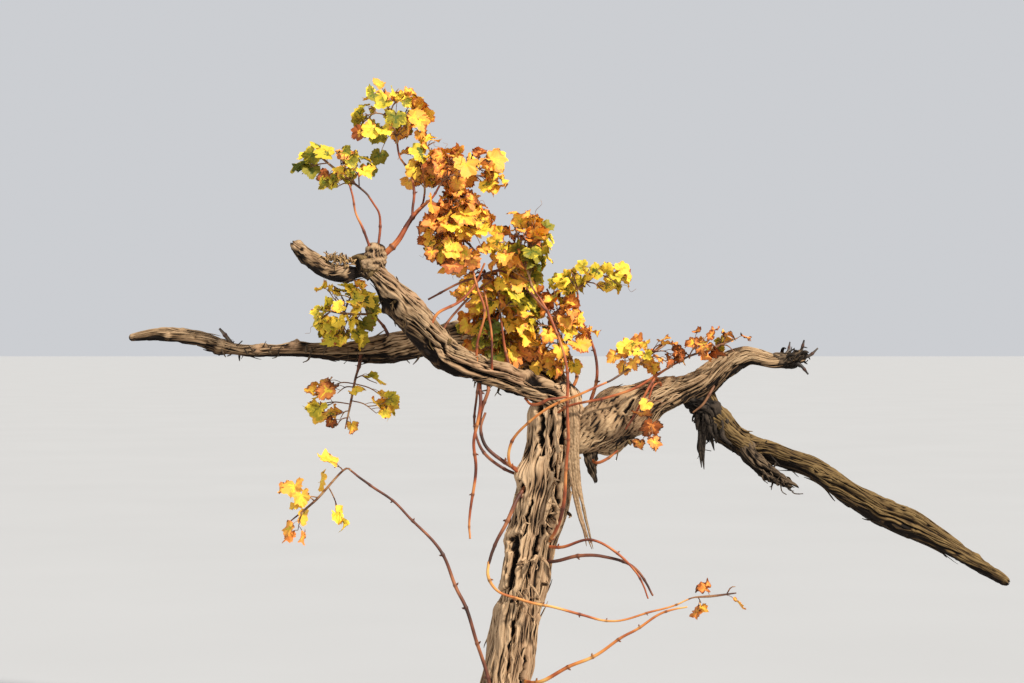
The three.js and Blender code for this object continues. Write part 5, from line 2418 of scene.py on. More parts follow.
LIMBS = (
    BarkLimb(
        "trunk_bark", LimbKind.TRUNK,
        (
            (-0.014, 0, -0.06, 0.06), (0, 0, 0, 0.06), (0.05, 0, 0.232, 0.056), (0.107, 0, 0.5, 0.056),
            (0.14, -0.005, 0.65, 0.059), (0.157, -0.005, 0.735, 0.067), (0.178, 0, 0.825, 0.068),
            (0.192, 0, 0.9, 0.06), (0.203, 0, 0.925, 0.044), (0.208, 0, 0.943, 0.01),
        ),
        seed=3, nodes=("trunk",), flare=RootFlare(), splinter=0.0, knots=5, underside=0.1,
        swellings=(
            Burl((0.09, -0.045, 0.715), 0.03, 0.02),
            Burl((0.13, -0.06, 0.735), 0.022, 0.008),
            Hollow((0.082, -0.05, 0.71), (0.098, -0.06, 0.672), 0.011, 0.03, 0.006),
            Burl((0.19, -0.04, 0.46), 0.035, 0.012),
            Burl((0.05, -0.05, 0.33), 0.04, 0.01),
            Groove(ARM_HOLLOW, 0.015, 0.036, 0.0),
            Groove(((0.187, 0.94), (0.19, 0.91), (0.196, 0.88)), 0.0035, 0.01),
            Groove(((0.21, 0.945), (0.212, 0.91), (0.221, 0.87)), 0.0025, 0.007),
            Groove(((0.232, 0.93), (0.234, 0.9), (0.239, 0.87)), 0.003, 0.009),
            Groove(((0.168, 0.895), (0.166, 0.84), (0.167, 0.788), (0.167, 0.73)), 0.0045, 0.016),
            Groove(
                (
                    (0.19, 0.875), (0.191, 0.835), (0.197, 0.777), (0.184, 0.745), (0.174, 0.652),
                    (0.159, 0.58),
                ),
                0.0085, 0.024,
            ),
            Groove(((0.136, 0.9), (0.14, 0.866), (0.142, 0.77)), 0.0065, 0.016),
            Groove(((0.079, 0.56), (0.073, 0.522), (0.062, 0.451), (0.042, 0.408)), 0.0095, 0.024),
            Groove(
                ((0.142, 0.585), (0.12, 0.513), (0.107, 0.473), (0.091, 0.424), (0.087, 0.385)),
                0.006, 0.02,
            ),
            Groove(
                ((0.087, 0.393), (0.073, 0.344), (0.06, 0.277), (0.055, 0.214), (0.045, 0.15)),
                0.005, 0.018,
            ),
            Groove(((0.048, 0.406), (0.09, 0.402), (0.135, 0.405)), 0.0028, 0.007),
            Groove(((0.136, 0.39), (0.144, 0.352), (0.14, 0.31)), 0.005, 0.014),
            Groove(((0.221, 0.79), (0.2185, 0.679)), 0.0045, 0.013),
            Groove(((0.113, 0.65), (0.104, 0.6), (0.09, 0.56)), 0.004, 0.01),
            Groove(((0.1, 0.28), (0.09, 0.2), (0.06, 0.1)), 0.0045, 0.012),
        ),
    ),
    BarkLimb(
        "right_arm_bark", LimbKind.HEAD,
        (
            (0.205, 0, 0.805, 0.05), (0.285, 0.005, 0.83, 0.072), (0.358, 0.005, 0.87, 0.062),
            (0.422, 0, 0.905, 0.044), (0.487, -0.01, 0.925, 0.033), (0.551, -0.022, 0.95, 0.03),
            (0.604, -0.032, 0.99, 0.027), (0.653, -0.042, 1.01, 0.022), (0.717, -0.048, 0.998, 0.018),
            (0.79, -0.052, 1.005, 0.011),
        ),
        seed=5, nodes=("right_arm",), finish="head_bark", crackle=0.46, dark_from=0.36,
        swellings=(
            Groove(((0.365, 0.9), (0.352, 0.872)), 0.004, 0.01),
            Groove(((0.285, 0.765), (0.325, 0.775), (0.35, 0.795)), 0.003, 0.008),
            Burl((0.275, -0.08, 0.85), 0.035, -0.008), Burl((0.34, -0.07, 0.83), 0.03, 0.008),
            Burl((0.24, -0.06, 0.79), 0.028, 0.008),
        ),
    ),
    BarkLimb(
        "left_arm_bark", LimbKind.ARM,
        (
            (0.205, 0, 0.878, 0.038), (0.15, -0.022, 0.916, 0.036), (0.112, -0.032, 0.929, 0.035),
            (0.018, -0.048, 0.963, 0.033), (-0.086, -0.064, 1.008, 0.035), (-0.164, -0.082, 1.091, 0.036),
            (-0.238, -0.096, 1.173, 0.034), (-0.279, -0.1, 1.228, 0.031), (-0.277, -0.1, 1.262, 0.025),
        ),
        seed=7, nodes=("left_arm",), splinter=0.0, finish="arm_bark",
        swellings=(
            Groove(ARM_HOLLOW, 0.013, 0.028, 0.004),
            Burl((-0.246, -0.1, 1.148), 0.03, 0.016),
            Burl((0.06, -0.05, 0.985), 0.02, 0.006),
            Burl((-0.2, -0.12, 1.105), 0.026, 0.013),
            Burl((-0.165, -0.085, 1.18), 0.03, 0.014),
            Burl((-0.1, -0.09, 1.05), 0.02, 0.006),
            Burl((-0.135, -0.1, 1.04), 0.02, -0.008),
            Burl((-0.2, -0.11, 1.1), 0.008, -0.008),
            Groove(
                ((0.086, 0.933), (0.041, 0.955), (0.0, 0.964), (-0.038, 0.979), (-0.091, 1.006)),
                0.0055, 0.02,
            ),
            Groove(((0.097, 0.957), (0.063, 0.966), (0.019, 0.979)), 0.003, 0.009),
            Groove(((-0.093, 1.012), (-0.1, 1.03), (-0.135, 1.076)), 0.0035, 0.01),
            Groove(
                (
                    (0.125, 0.884), (0.063, 0.912), (0.019, 0.926), (-0.02, 0.935), (-0.062, 0.962),
                    (-0.09, 0.977), (-0.118, 1.001), (-0.135, 1.028),
                ),
                0.009, 0.014,
            ),
            Groove(((-0.29, 1.19), (-0.275, 1.164), (-0.25, 1.144), (-0.22, 1.137)), 0.012, 0.018),
            SPUR_SHADOW,
        ),
    ),
    BarkLimb(
        "left_knob_bark", LimbKind.SPUR,
        ((-0.27, -0.1, 1.212, 0.025), (-0.296, -0.104, 1.238, 0.024), (-0.3, -0.105, 1.263, 0.016)),
        seed=41, finish="shaded_bark", knots=9, knot_height=0.5, splinter=0.0, peeling=1.2, crackle=1.3,
        swellings=(SPUR_SHADOW,),
    ),
    BarkLimb(
        "top_knob_bark", LimbKind.SPUR,
        ((-0.27, -0.1, 1.225, 0.025), (-0.265, -0.104, 1.26, 0.022), (-0.256, -0.104, 1.286, 0.014)),
        seed=43, finish="arm_bark", knots=9, knot_height=0.5, splinter=0.0, peeling=1.2, crackle=1.3,
    ),
    # The crotch mass under the head is near black, painted shade.
    BarkLimb(
        "crotch_bark", LimbKind.SPUR,
        (
            (0.49, 0.0, 0.918, 0.02), (0.535, 0.002, 0.893, 0.032), (0.562, 0.004, 0.862, 0.032),
            (0.566, 0.002, 0.83, 0.018), (0.562, 0, 0.8, 0.008),
        ),
        seed=47, slot="dead_bark", finish="painted_shade_bark", knots=3, splinter=0.008,
    ),
    BarkLimb(
        "arm_end_bark", LimbKind.SPUR,
        (
            (0.69, -0.046, 1.002, 0.012), (0.735, -0.05, 0.998, 0.015), (0.762, -0.052, 1.0, 0.018),
            (0.788, -0.056, 1.014, 0.011),
        ),
        seed=53, slot="dead_bark", finish="dead_bark", knots=8, knot_height=0.7, splinter=0.012,
    ),
    BarkLimb(
        "lower_right_arm_bark", LimbKind.ARM,
        (
            (0.543, 0.005, 0.932, 0.026), (0.572, 0.015, 0.864, 0.034), (0.646, 0.03, 0.789, 0.031),
            (0.734, 0.03, 0.761, 0.025), (0.818, 0.02, 0.731, 0.023), (0.879, 0.01, 0.689, 0.025),
            (0.986, -0.01, 0.623, 0.028), (1.083, -0.025, 0.582, 0.027), (1.174, -0.04, 0.524, 0.021),
            (1.296, -0.05, 0.45, 0.012),
        ),
        seed=11, nodes=("lower_right_arm",), finish="shaded_bark", knots=9,
    ),
    BarkLimb(
        "lower_right_stub_bark", LimbKind.SPUR,
        (
            (0.636, 0.025, 0.815, 0.018), (0.659, 0.012, 0.767, 0.02), (0.698, 0.002, 0.727, 0.018),
            (0.737, -0.004, 0.703, 0.015), (0.768, -0.008, 0.686, 0.007),
        ),
        seed=13, nodes=("lower_right_stub",), slot="dead_bark", finish="dead_bark", splinter=0.02, knots=5,
        swellings=(
            Hollow((0.675, -0.02, 0.742), (0.745, -0.02, 0.7), 0.007, 0.014, 0.003),
            Groove(((0.65, 0.775), (0.7, 0.72), (0.75, 0.69)), 0.003, 0.008),
        ),
    ),
    BarkLimb(
        "back_left_arm_bark", LimbKind.ARM,
        (
            (0.2, 0.02, 0.868, 0.034), (0.176, 0.11, 0.925, 0.036), (0.11, 0.17, 0.99, 0.034),
            (0.02, 0.195, 1.04, 0.03), (-0.075, 0.205, 1.055, 0.03), (-0.223, 0.215, 1.035, 0.037),
            (-0.354, 0.22, 1.019, 0.024), (-0.483, 0.215, 1.024, 0.016), (-0.625, 0.21, 1.024, 0.016),
            (-0.754, 0.2, 1.055, 0.018), (-0.856, 0.19, 1.066, 0.015), (-0.922, 0.185, 1.055, 0.009),
        ),
        seed=17, nodes=("back_left_arm",), finish="arm_bark", knots=26, splinter=0.0, knot_height=0.75,
        swellings=(Burl((-0.21, 0.18, 1.02), 0.035, 0.012), Burl((-0.24, 0.19, 1.055), 0.02, 0.012)),
    ),
    BarkLimb(
        "left_spur_bark", LimbKind.SPUR,
        (
            (-0.25, -0.1, 1.226, 0.022), (-0.33, -0.105, 1.214, 0.021), (-0.378, -0.11, 1.217, 0.021),
            (-0.417, -0.115, 1.243, 0.019), (-0.468, -0.12, 1.289, 0.014),
        ),
        seed=19, nodes=("left_spur",), finish="arm_bark", knots=9, knot_height=0.4, splinter=0.004,
        crackle=1.3, swellings=(SPUR_SHADOW, Burl((-0.37, -0.13, 1.205), 0.01, -0.006)),
    ),
    BarkLimb(
        "under_spur_bark", LimbKind.SPUR,
        ((0.272, -0.005, 0.8, 0.018), (0.264, -0.018, 0.751, 0.015), (0.272, -0.024, 0.705, 0.007)),
        seed=23, nodes=("under_spur",), slot="dead_bark", finish="dead_bark", splinter=0.016,
    ),
)

# Shreds in the near-black finish are painted shade.
BARK_SHREDS = (
    Shreds(
        "crotch_shreds", start=(0.535, 0, 0.89), end=(0.6, 0.005, 0.85), wood_radius=0.03,
        way=(0.0, 0, -1.0), count=54, length=(0.02, 0.045), width=(0.007, 0.016), seed=61,
        finish="painted_shade_bark", straggle=0.18,
    ),
    Shreds(
        "crotch_tails", start=(0.535, 0, 0.83), end=(0.555, 0.005, 0.82), wood_radius=0.012,
        way=(0.05, 0, -1.0), count=4, length=(0.05, 0.085), width=(0.003, 0.005), seed=63,
        finish="painted_shade_bark", straggle=0.08,
    ),
    Shreds(
        "stub_shreds", start=(0.69, -0.005, 0.725), end=(0.765, -0.008, 0.69), wood_radius=0.012,
        way=(0.5, -0.1, -0.7), count=24, length=(0.012, 0.035), width=(0.003, 0.007), seed=69, straggle=0.5,
    ),
    Shreds(
        "lower_arm_shreds", start=(0.6, 0.01, 0.85), end=(0.74, 0.03, 0.755), wood_radius=0.026,
        way=(-0.1, -0.1, -1.0), count=22, length=(0.015, 0.045), width=(0.004, 0.009), seed=67,
        finish="painted_shade_bark",
    ),
    Shreds(
        "head_shreds", start=(0.24, -0.02, 0.79), end=(0.4, 0, 0.875), wood_radius=0.06,
        way=(0.2, -0.2, -1.0), count=9, length=(0.01, 0.03), width=(0.004, 0.01), seed=71,
        finish="shaded_bark", slot="bark",
    ),
    Shreds(
        "left_arm_shreds", start=(-0.24, -0.1, 1.17), end=(0.06, -0.04, 0.95), wood_radius=0.032,
        way=(-0.2, -0.1, -1.0), count=24, length=(0.015, 0.05), width=(0.004, 0.009), seed=73,
        finish="shaded_bark", slot="bark",
    ),
    Shreds(
        "spur_crust", start=(-0.4, -0.112, 1.236), end=(-0.325, -0.105, 1.226), wood_radius=0.018,
        way=(0.1, -0.3, 1.0), count=110, length=(0.008, 0.024), width=(0.003, 0.008), seed=79,
        finish="dry_crust", slot="bark", straggle=0.9,
    ),
    Shreds(
        "arm_end_shreds", start=(0.735, -0.047, 1.0), end=(0.792, -0.056, 1.01), wood_radius=0.016,
        way=(0.45, -0.2, 0.12), count=30, length=(0.012, 0.034), width=(0.005, 0.01), seed=83,
        finish="painted_shade_bark", straggle=0.5,
    ),
    Shreds(
        "back_arm_shreds", start=(-0.7, 0.2, 1.045), end=(-0.15, 0.205, 1.04), wood_radius=0.016,
        way=(0, -0.2, -1.0), count=40, length=(0.012, 0.05), width=(0.003, 0.008), seed=89, straggle=0.8,
    ),
    Shreds(
        "trunk_shreds", start=(0.07, -0.02, 0.35), end=(0.2, -0.01, 0.8), wood_radius=0.056,
        way=(0.2, -1.0, -0.2), count=30, length=(0.02, 0.06), width=(0.005, 0.012), seed=97,
        finish="old_bark", slot="bark", straggle=0.5,
    ),
)

# The three hanging strips are in the near-black finish, painted shade under the head.
STRAPS = (
    Strap(
        "hanging_strip_long",
        (
            (0.548, 0, 0.86, 0.01), (0.543, -0.004, 0.81, 0.009), (0.541, -0.006, 0.775, 0.007),
            (0.546, -0.004, 0.733, 0.004),
        ),
        seed=107, finish="painted_shade_bark",
    ),
    Strap(
        "hanging_strip_middle",
        ((0.565, 0, 0.86, 0.011), (0.568, -0.004, 0.815, 0.009), (0.576, -0.004, 0.775, 0.004)), seed=109,
        finish="painted_shade_bark",
    ),
    Strap(
        "hanging_strip_short",
        ((0.588, 0.004, 0.86, 0.011), (0.595, 0, 0.825, 0.009), (0.601, 0, 0.79, 0.004)), seed=113,
        finish="painted_shade_bark",
    ),
    Strap(
        "furrow_strand_high",
        ((0.179, -0.05, 0.885, 0.009), (0.181, -0.062, 0.85, 0.008), (0.18, -0.062, 0.8, 0.004)),
        thickness=0.006, seed=117,
    ),
    Strap(
        "furrow_strand_low",
        ((0.19, -0.056, 0.79, 0.006), (0.187, -0.062, 0.745, 0.008), (0.179, -0.054, 0.7, 0.005)),
        thickness=0.006, seed=119,
    ),
    Strap(
        "slanting_strand",
        ((0.172, -0.046, 0.7, 0.004), (0.16, -0.066, 0.65, 0.006), (0.144, -0.06, 0.595, 0.004)),
        thickness=0.006, seed=121,
    ),
    Strap(
        "trunk_strap",
        (
            (0.214, -0.05, 0.905, 0.013), (0.219, -0.064, 0.83, 0.014), (0.219, -0.07, 0.76, 0.014),
            (0.226, -0.068, 0.69, 0.012), (0.24, -0.066, 0.62, 0.01), (0.252, -0.064, 0.575, 0.008),
            (0.262, -0.062, 0.535, 0.005),
        ),
        facing=(0.1, -1.0, 0.0), thickness=0.004, strands=4, seed=101, finish="arm_bark",
    ),
)

CANE_STATIONS: dict[str, tuple[Station, ...]] = {
    "upper_cane": (
        (-0.27, -0.1, 1.24, 0.01), (-0.244, -0.1, 1.262, 0.012), (-0.214, -0.098, 1.292, 0.011),
        (-0.187, -0.09, 1.338, 0.009), (-0.168, -0.085, 1.364, 0.008), (-0.145, -0.08, 1.386, 0.006),
    ),
    "left_cane_low": (
        (-0.271, -0.112, 1.25, 0.005), (-0.298, -0.116, 1.324, 0.005), (-0.315, -0.118, 1.361, 0.004),
        (-0.322, -0.118, 1.4, 0.004), (-0.331, -0.112, 1.432, 0.0035),
    ),
    "left_cane_high": (
        (-0.262, -0.088, 1.262, 0.005), (-0.255, -0.08, 1.33, 0.005), (-0.259, -0.08, 1.366, 0.004),
        (-0.283, -0.086, 1.4, 0.004),
    ),
    "top_cane": (
        (-0.178, -0.087, 1.352, 0.005), (-0.172, -0.072, 1.42, 0.005), (-0.186, -0.068, 1.464, 0.004),
        (-0.212, -0.064, 1.502, 0.004), (-0.216, -0.062, 1.535, 0.004),
    ),
    "neck_cane": (
        (-0.168, -0.085, 1.363, 0.005), (-0.152, -0.056, 1.386, 0.004), (-0.15, -0.04, 1.41, 0.004),
    ),
    "shoulder_cane": (
        (-0.155, -0.083, 1.378, 0.005), (-0.128, -0.092, 1.4, 0.004), (-0.112, -0.084, 1.428, 0.004),
    ),
    "mid_cane": (
        (0.105, -0.02, 0.706, 0.006), (0.045, -0.038, 0.732, 0.006), (-0.004, -0.02, 0.771, 0.006),
        (-0.025, 0.02, 0.825, 0.005), (-0.023, 0.04, 0.899, 0.005), (-0.015, 0.052, 0.975, 0.005),
    ),
    "front_cane": (
        (0.148, -0.02, 0.528, 0.007), (0.177, -0.062, 0.579, 0.007), (0.194, -0.086, 0.655, 0.007),
        (0.202, -0.096, 0.729, 0.006), (0.204, -0.1, 0.828, 0.006), (0.204, -0.098, 0.939, 0.006),
        (0.188, -0.092, 1.045, 0.005), (0.15, -0.078, 1.125, 0.005), (0.124, -0.066, 1.17, 0.004),
    ),
    "crossing_cane": (
        (0.108, -0.024, 0.706, 0.006), (0.062, -0.07, 0.748, 0.006), (0.066, -0.09, 0.8, 0.006),
        (0.112, -0.11, 0.85, 0.005), (0.166, -0.122, 0.89, 0.005), (0.234, -0.122, 0.917, 0.005),
        (0.3, -0.104, 0.946, 0.004),
    ),
    "long_crossing_cane": (
        (0.168, -0.04, 0.86, 0.005), (0.205, -0.074, 0.888, 0.005), (0.3, -0.086, 0.906, 0.005),
        (0.408, -0.07, 0.952, 0.005), (0.488, -0.052, 1, 0.004),
    ),
    "knot_whip": (
        (0.112, -0.03, 0.7, 0.008), (0.074, -0.076, 0.643, 0.008), (0.038, -0.092, 0.57, 0.007),
        (0.01, -0.098, 0.5, 0.006),
    ),
    "foot_whip": (
        (0.01, -0.098, 0.506, 0.005), (0.012, -0.102, 0.468, 0.006), (0.036, -0.104, 0.432, 0.005),
        (0.092, -0.104, 0.411, 0.005), (0.161, -0.1, 0.398, 0.005), (0.24, -0.092, 0.372, 0.005),
        (0.329, -0.084, 0.36, 0.004), (0.413, -0.078, 0.379, 0.004), (0.503, -0.07, 0.41, 0.003),
    ),
    "low_left_whip": (
        (0.036, -0.026, 0.11, 0.008), (0.014, -0.07, 0.185, 0.008), (-0.012, -0.084, 0.29, 0.007),
        (-0.06, -0.086, 0.421, 0.007), (-0.115, -0.08, 0.537, 0.006), (-0.197, -0.072, 0.625, 0.005),
        (-0.283, -0.064, 0.694, 0.005), (-0.33, -0.058, 0.726, 0.004),
    ),
    "right_whip": (
        (0.14, -0.02, 0.54, 0.006), (0.19, -0.062, 0.54, 0.006), (0.26, -0.084, 0.556, 0.005),
        (0.324, -0.09, 0.53, 0.005), (0.373, -0.088, 0.475, 0.004), (0.403, -0.082, 0.413, 0.003),
    ),
    "bridge_cane": (
        (0.066, -0.034, 0.96, 0.006), (0.05, -0.026, 1.03, 0.005), (0.04, -0.024, 1.104, 0.004),
    ),
    "back_spur": ((-0.244, 0.2, 1.04, 0.01), (-0.262, 0.19, 1.082, 0.006), (-0.28, 0.18, 1.104, 0.005)),
    "hanging_spur": (
        (-0.322, 0.212, 1.024, 0.01), (-0.329, 0.206, 0.983, 0.007), (-0.334, 0.204, 0.966, 0.005),
    ),
    "behind_cane": (
        (0.205, 0.08, 0.905, 0.008), (0.232, 0.084, 0.955, 0.006), (0.222, 0.084, 0.99, 0.005),
    ),
    "tail_cane": (
        (0.262, 0.02, 0.88, 0.008), (0.284, 0.05, 0.96, 0.006), (0.262, 0.062, 1.06, 0.005),
        (0.238, 0.066, 1.12, 0.005), (0.234, 0.07, 1.165, 0.004),
    ),
    "head_cane": (
        (0.441, -0.01, 0.926, 0.006), (0.436, -0.052, 0.945, 0.004), (0.416, -0.084, 0.935, 0.004),
        (0.404, -0.086, 0.905, 0.004),
    ),
}

CANE_FINISHES = {
    **dict.fromkeys(("knot_whip", "mid_cane", "back_spur", "hanging_spur", "low_left_whip"), "old_cane"),
    **dict.fromkeys(("foot_whip", "crossing_cane"), "pale_cane"),
}
CANE_SEED = 200
THIN_CANE_SEED = 300

THIN_CANES: dict[str, tuple[str, tuple[Station, ...]]] = {
    "fork_cane": (
        "ripe_cane",
        (
            (0.1, -0.045, 0.905, 0.0035), (0.118, -0.084, 0.893, 0.0036), (0.138, -0.1, 0.897, 0.0038),
            (0.156, -0.105, 0.906, 0.0035), (0.181, -0.104, 0.909, 0.003), (0.206, -0.1, 0.911, 0.0025),
        ),
    ),
    "arching_cane": (
        "old_cane",
        (
            (0.15, -0.078, 1.125, 0.0035), (0.11, -0.06, 1.17, 0.0035), (0.078, -0.05, 1.2, 0.003),
            (0.036, -0.045, 1.222, 0.003), (-0.02, -0.045, 1.205, 0.003), (-0.065, -0.05, 1.19, 0.003),
            (-0.14, -0.062, 1.15, 0.0025),
        ),
    ),
    "arm_cane_low": (
        "ripe_cane",
        (
            (-0.13, -0.1, 1.09, 0.004), (-0.115, -0.1, 1.115, 0.0038), (-0.064, -0.085, 1.143, 0.0035),
            (-0.026, -0.07, 1.183, 0.003), (0.0, -0.06, 1.24, 0.0025),
        ),
    ),
    "arm_cane_dark": (
        "old_cane",
        (
            (-0.105, -0.07, 1.05, 0.004), (-0.1, -0.06, 1.075, 0.0035), (-0.062, -0.05, 1.13, 0.003),
            (-0.026, -0.05, 1.17, 0.003), (0.02, -0.04, 1.2, 0.002),
        ),
    ),
    "upright_cane_left": (
        "ripe_cane",
        (
            (-0.018, -0.07, 0.985, 0.0032), (-0.016, -0.08, 1.04, 0.0032), (-0.002, -0.08, 1.12, 0.003),
            (-0.016, -0.07, 1.18, 0.003), (-0.03, -0.06, 1.23, 0.0025),
        ),
    ),
    "upright_cane_right": (
        "ripe_cane",
        (
            (0.018, -0.07, 0.972, 0.003), (0.02, -0.078, 1.0, 0.003), (0.019, -0.075, 1.06, 0.0028),
            (0.006, -0.07, 1.12, 0.003), (-0.003, -0.06, 1.18, 0.0025),
        ),
    ),
    "hanging_cane": (
        "ripe_cane",
        (
            (-0.012, -0.055, 0.945, 0.0045), (-0.008, -0.08, 0.9, 0.0045), (-0.026, -0.085, 0.81, 0.004),
            (-0.02, -0.08, 0.74, 0.004), (-0.034, -0.08, 0.65, 0.0035), (-0.036, -0.08, 0.56, 0.0025),
        ),
    ),
    "hanging_cane_short": (
        "old_cane",
        (
            (0.004, -0.05, 0.945, 0.0045), (0.012, -0.075, 0.93, 0.0045), (-0.004, -0.08, 0.88, 0.004),
            (-0.012, -0.08, 0.84, 0.003),
        ),
    ),
    "looping_cane": (
        "old_cane",
        (
            (0.1, -0.03, 0.72, 0.0055), (0.05, -0.06, 0.75, 0.005), (0.0, -0.065, 0.79, 0.0045),
            (-0.012, -0.06, 0.835, 0.004), (0.002, -0.05, 0.87, 0.003),
        ),
    ),
    "second_right_whip": (
        "old_cane",
        (
            (0.13, -0.02, 0.5, 0.0045), (0.18, -0.058, 0.505, 0.0045), (0.236, -0.074, 0.516, 0.0045),
            (0.29, -0.078, 0.517, 0.004), (0.36, -0.08, 0.497, 0.0035), (0.415, -0.08, 0.42, 0.0025),
        ),
    ),
    "low_right_whip": (
        "pale_cane",
        (
            (0.1, -0.03, 0.2, 0.005), (0.14, -0.075, 0.21, 0.005), (0.21, -0.085, 0.245, 0.0045),
            (0.29, -0.085, 0.285, 0.004), (0.36, -0.082, 0.33, 0.0035), (0.43, -0.078, 0.372, 0.003),
            (0.5, -0.074, 0.392, 0.002),
        ),
    ),
    "back_dead_twig": (
        "dead_twig",
        (
            (-0.4, 0.21, 1.03, 0.005), (-0.392, 0.2, 1.07, 0.004), (-0.366, 0.19, 1.12, 0.0035),
            (-0.345, 0.185, 1.17, 0.002),
        ),
    ),
    "back_dead_fork": (
        "dead_twig",
        ((-0.37, 0.192, 1.11, 0.003), (-0.365, 0.185, 1.15, 0.002), (-0.385, 0.18, 1.185, 0.0012)),
    ),
    "far_dead_twig": (
        "dead_twig", ((-0.66, 0.21, 1.04, 0.006), (-0.675, 0.2, 1.062, 0.005), (-0.69, 0.195, 1.08, 0.003)),
    ),
    "end_twig_up": (
        "dead_twig",
        ((0.765, -0.05, 1.002, 0.006), (0.782, -0.055, 1.022, 0.0045), (0.79, -0.06, 1.05, 0.002)),
    ),
    "end_twig_out": (
        "dead_twig",
        ((0.775, -0.05, 1.004, 0.006), (0.805, -0.05, 1.012, 0.004), (0.825, -0.055, 1.03, 0.0018)),
    ),
    "end_twig_down": (
        "dead_twig", ((0.75, -0.05, 1.0, 0.006), (0.78, -0.06, 0.988, 0.0045), (0.8, -0.062, 0.965, 0.002)),
    ),
    "end_twig_back": (
        "dead_twig",
        ((0.73, -0.045, 1.002, 0.006), (0.752, -0.03, 1.02, 0.004), (0.76, -0.02, 1.045, 0.0018)),
    ),
    "under_spur_twig": (
        "ripe_cane",
        (
            (0.262, -0.02, 0.752, 0.004), (0.281, -0.045, 0.748, 0.004), (0.306, -0.05, 0.76, 0.0035),
            (0.33, -0.052, 0.777, 0.002),
        ),
    ),
    "peeled_stick": (
        "young_cane",
        (
            (0.575, -0.03, 0.945, 0.0034), (0.558, -0.046, 0.918, 0.0032), (0.54, -0.048, 0.89, 0.003),
            (0.516, -0.042, 0.87, 0.0018),
        ),
    ),
    "head_whip": (
        "ripe_cane",
        (
            (0.43, -0.03, 0.95, 0.0036), (0.424, -0.07, 0.957, 0.0036), (0.404, -0.09, 0.93, 0.0034),
            (0.382, -0.094, 0.893, 0.003), (0.347, -0.092, 0.83, 0.0022),
        ),
    ),
}

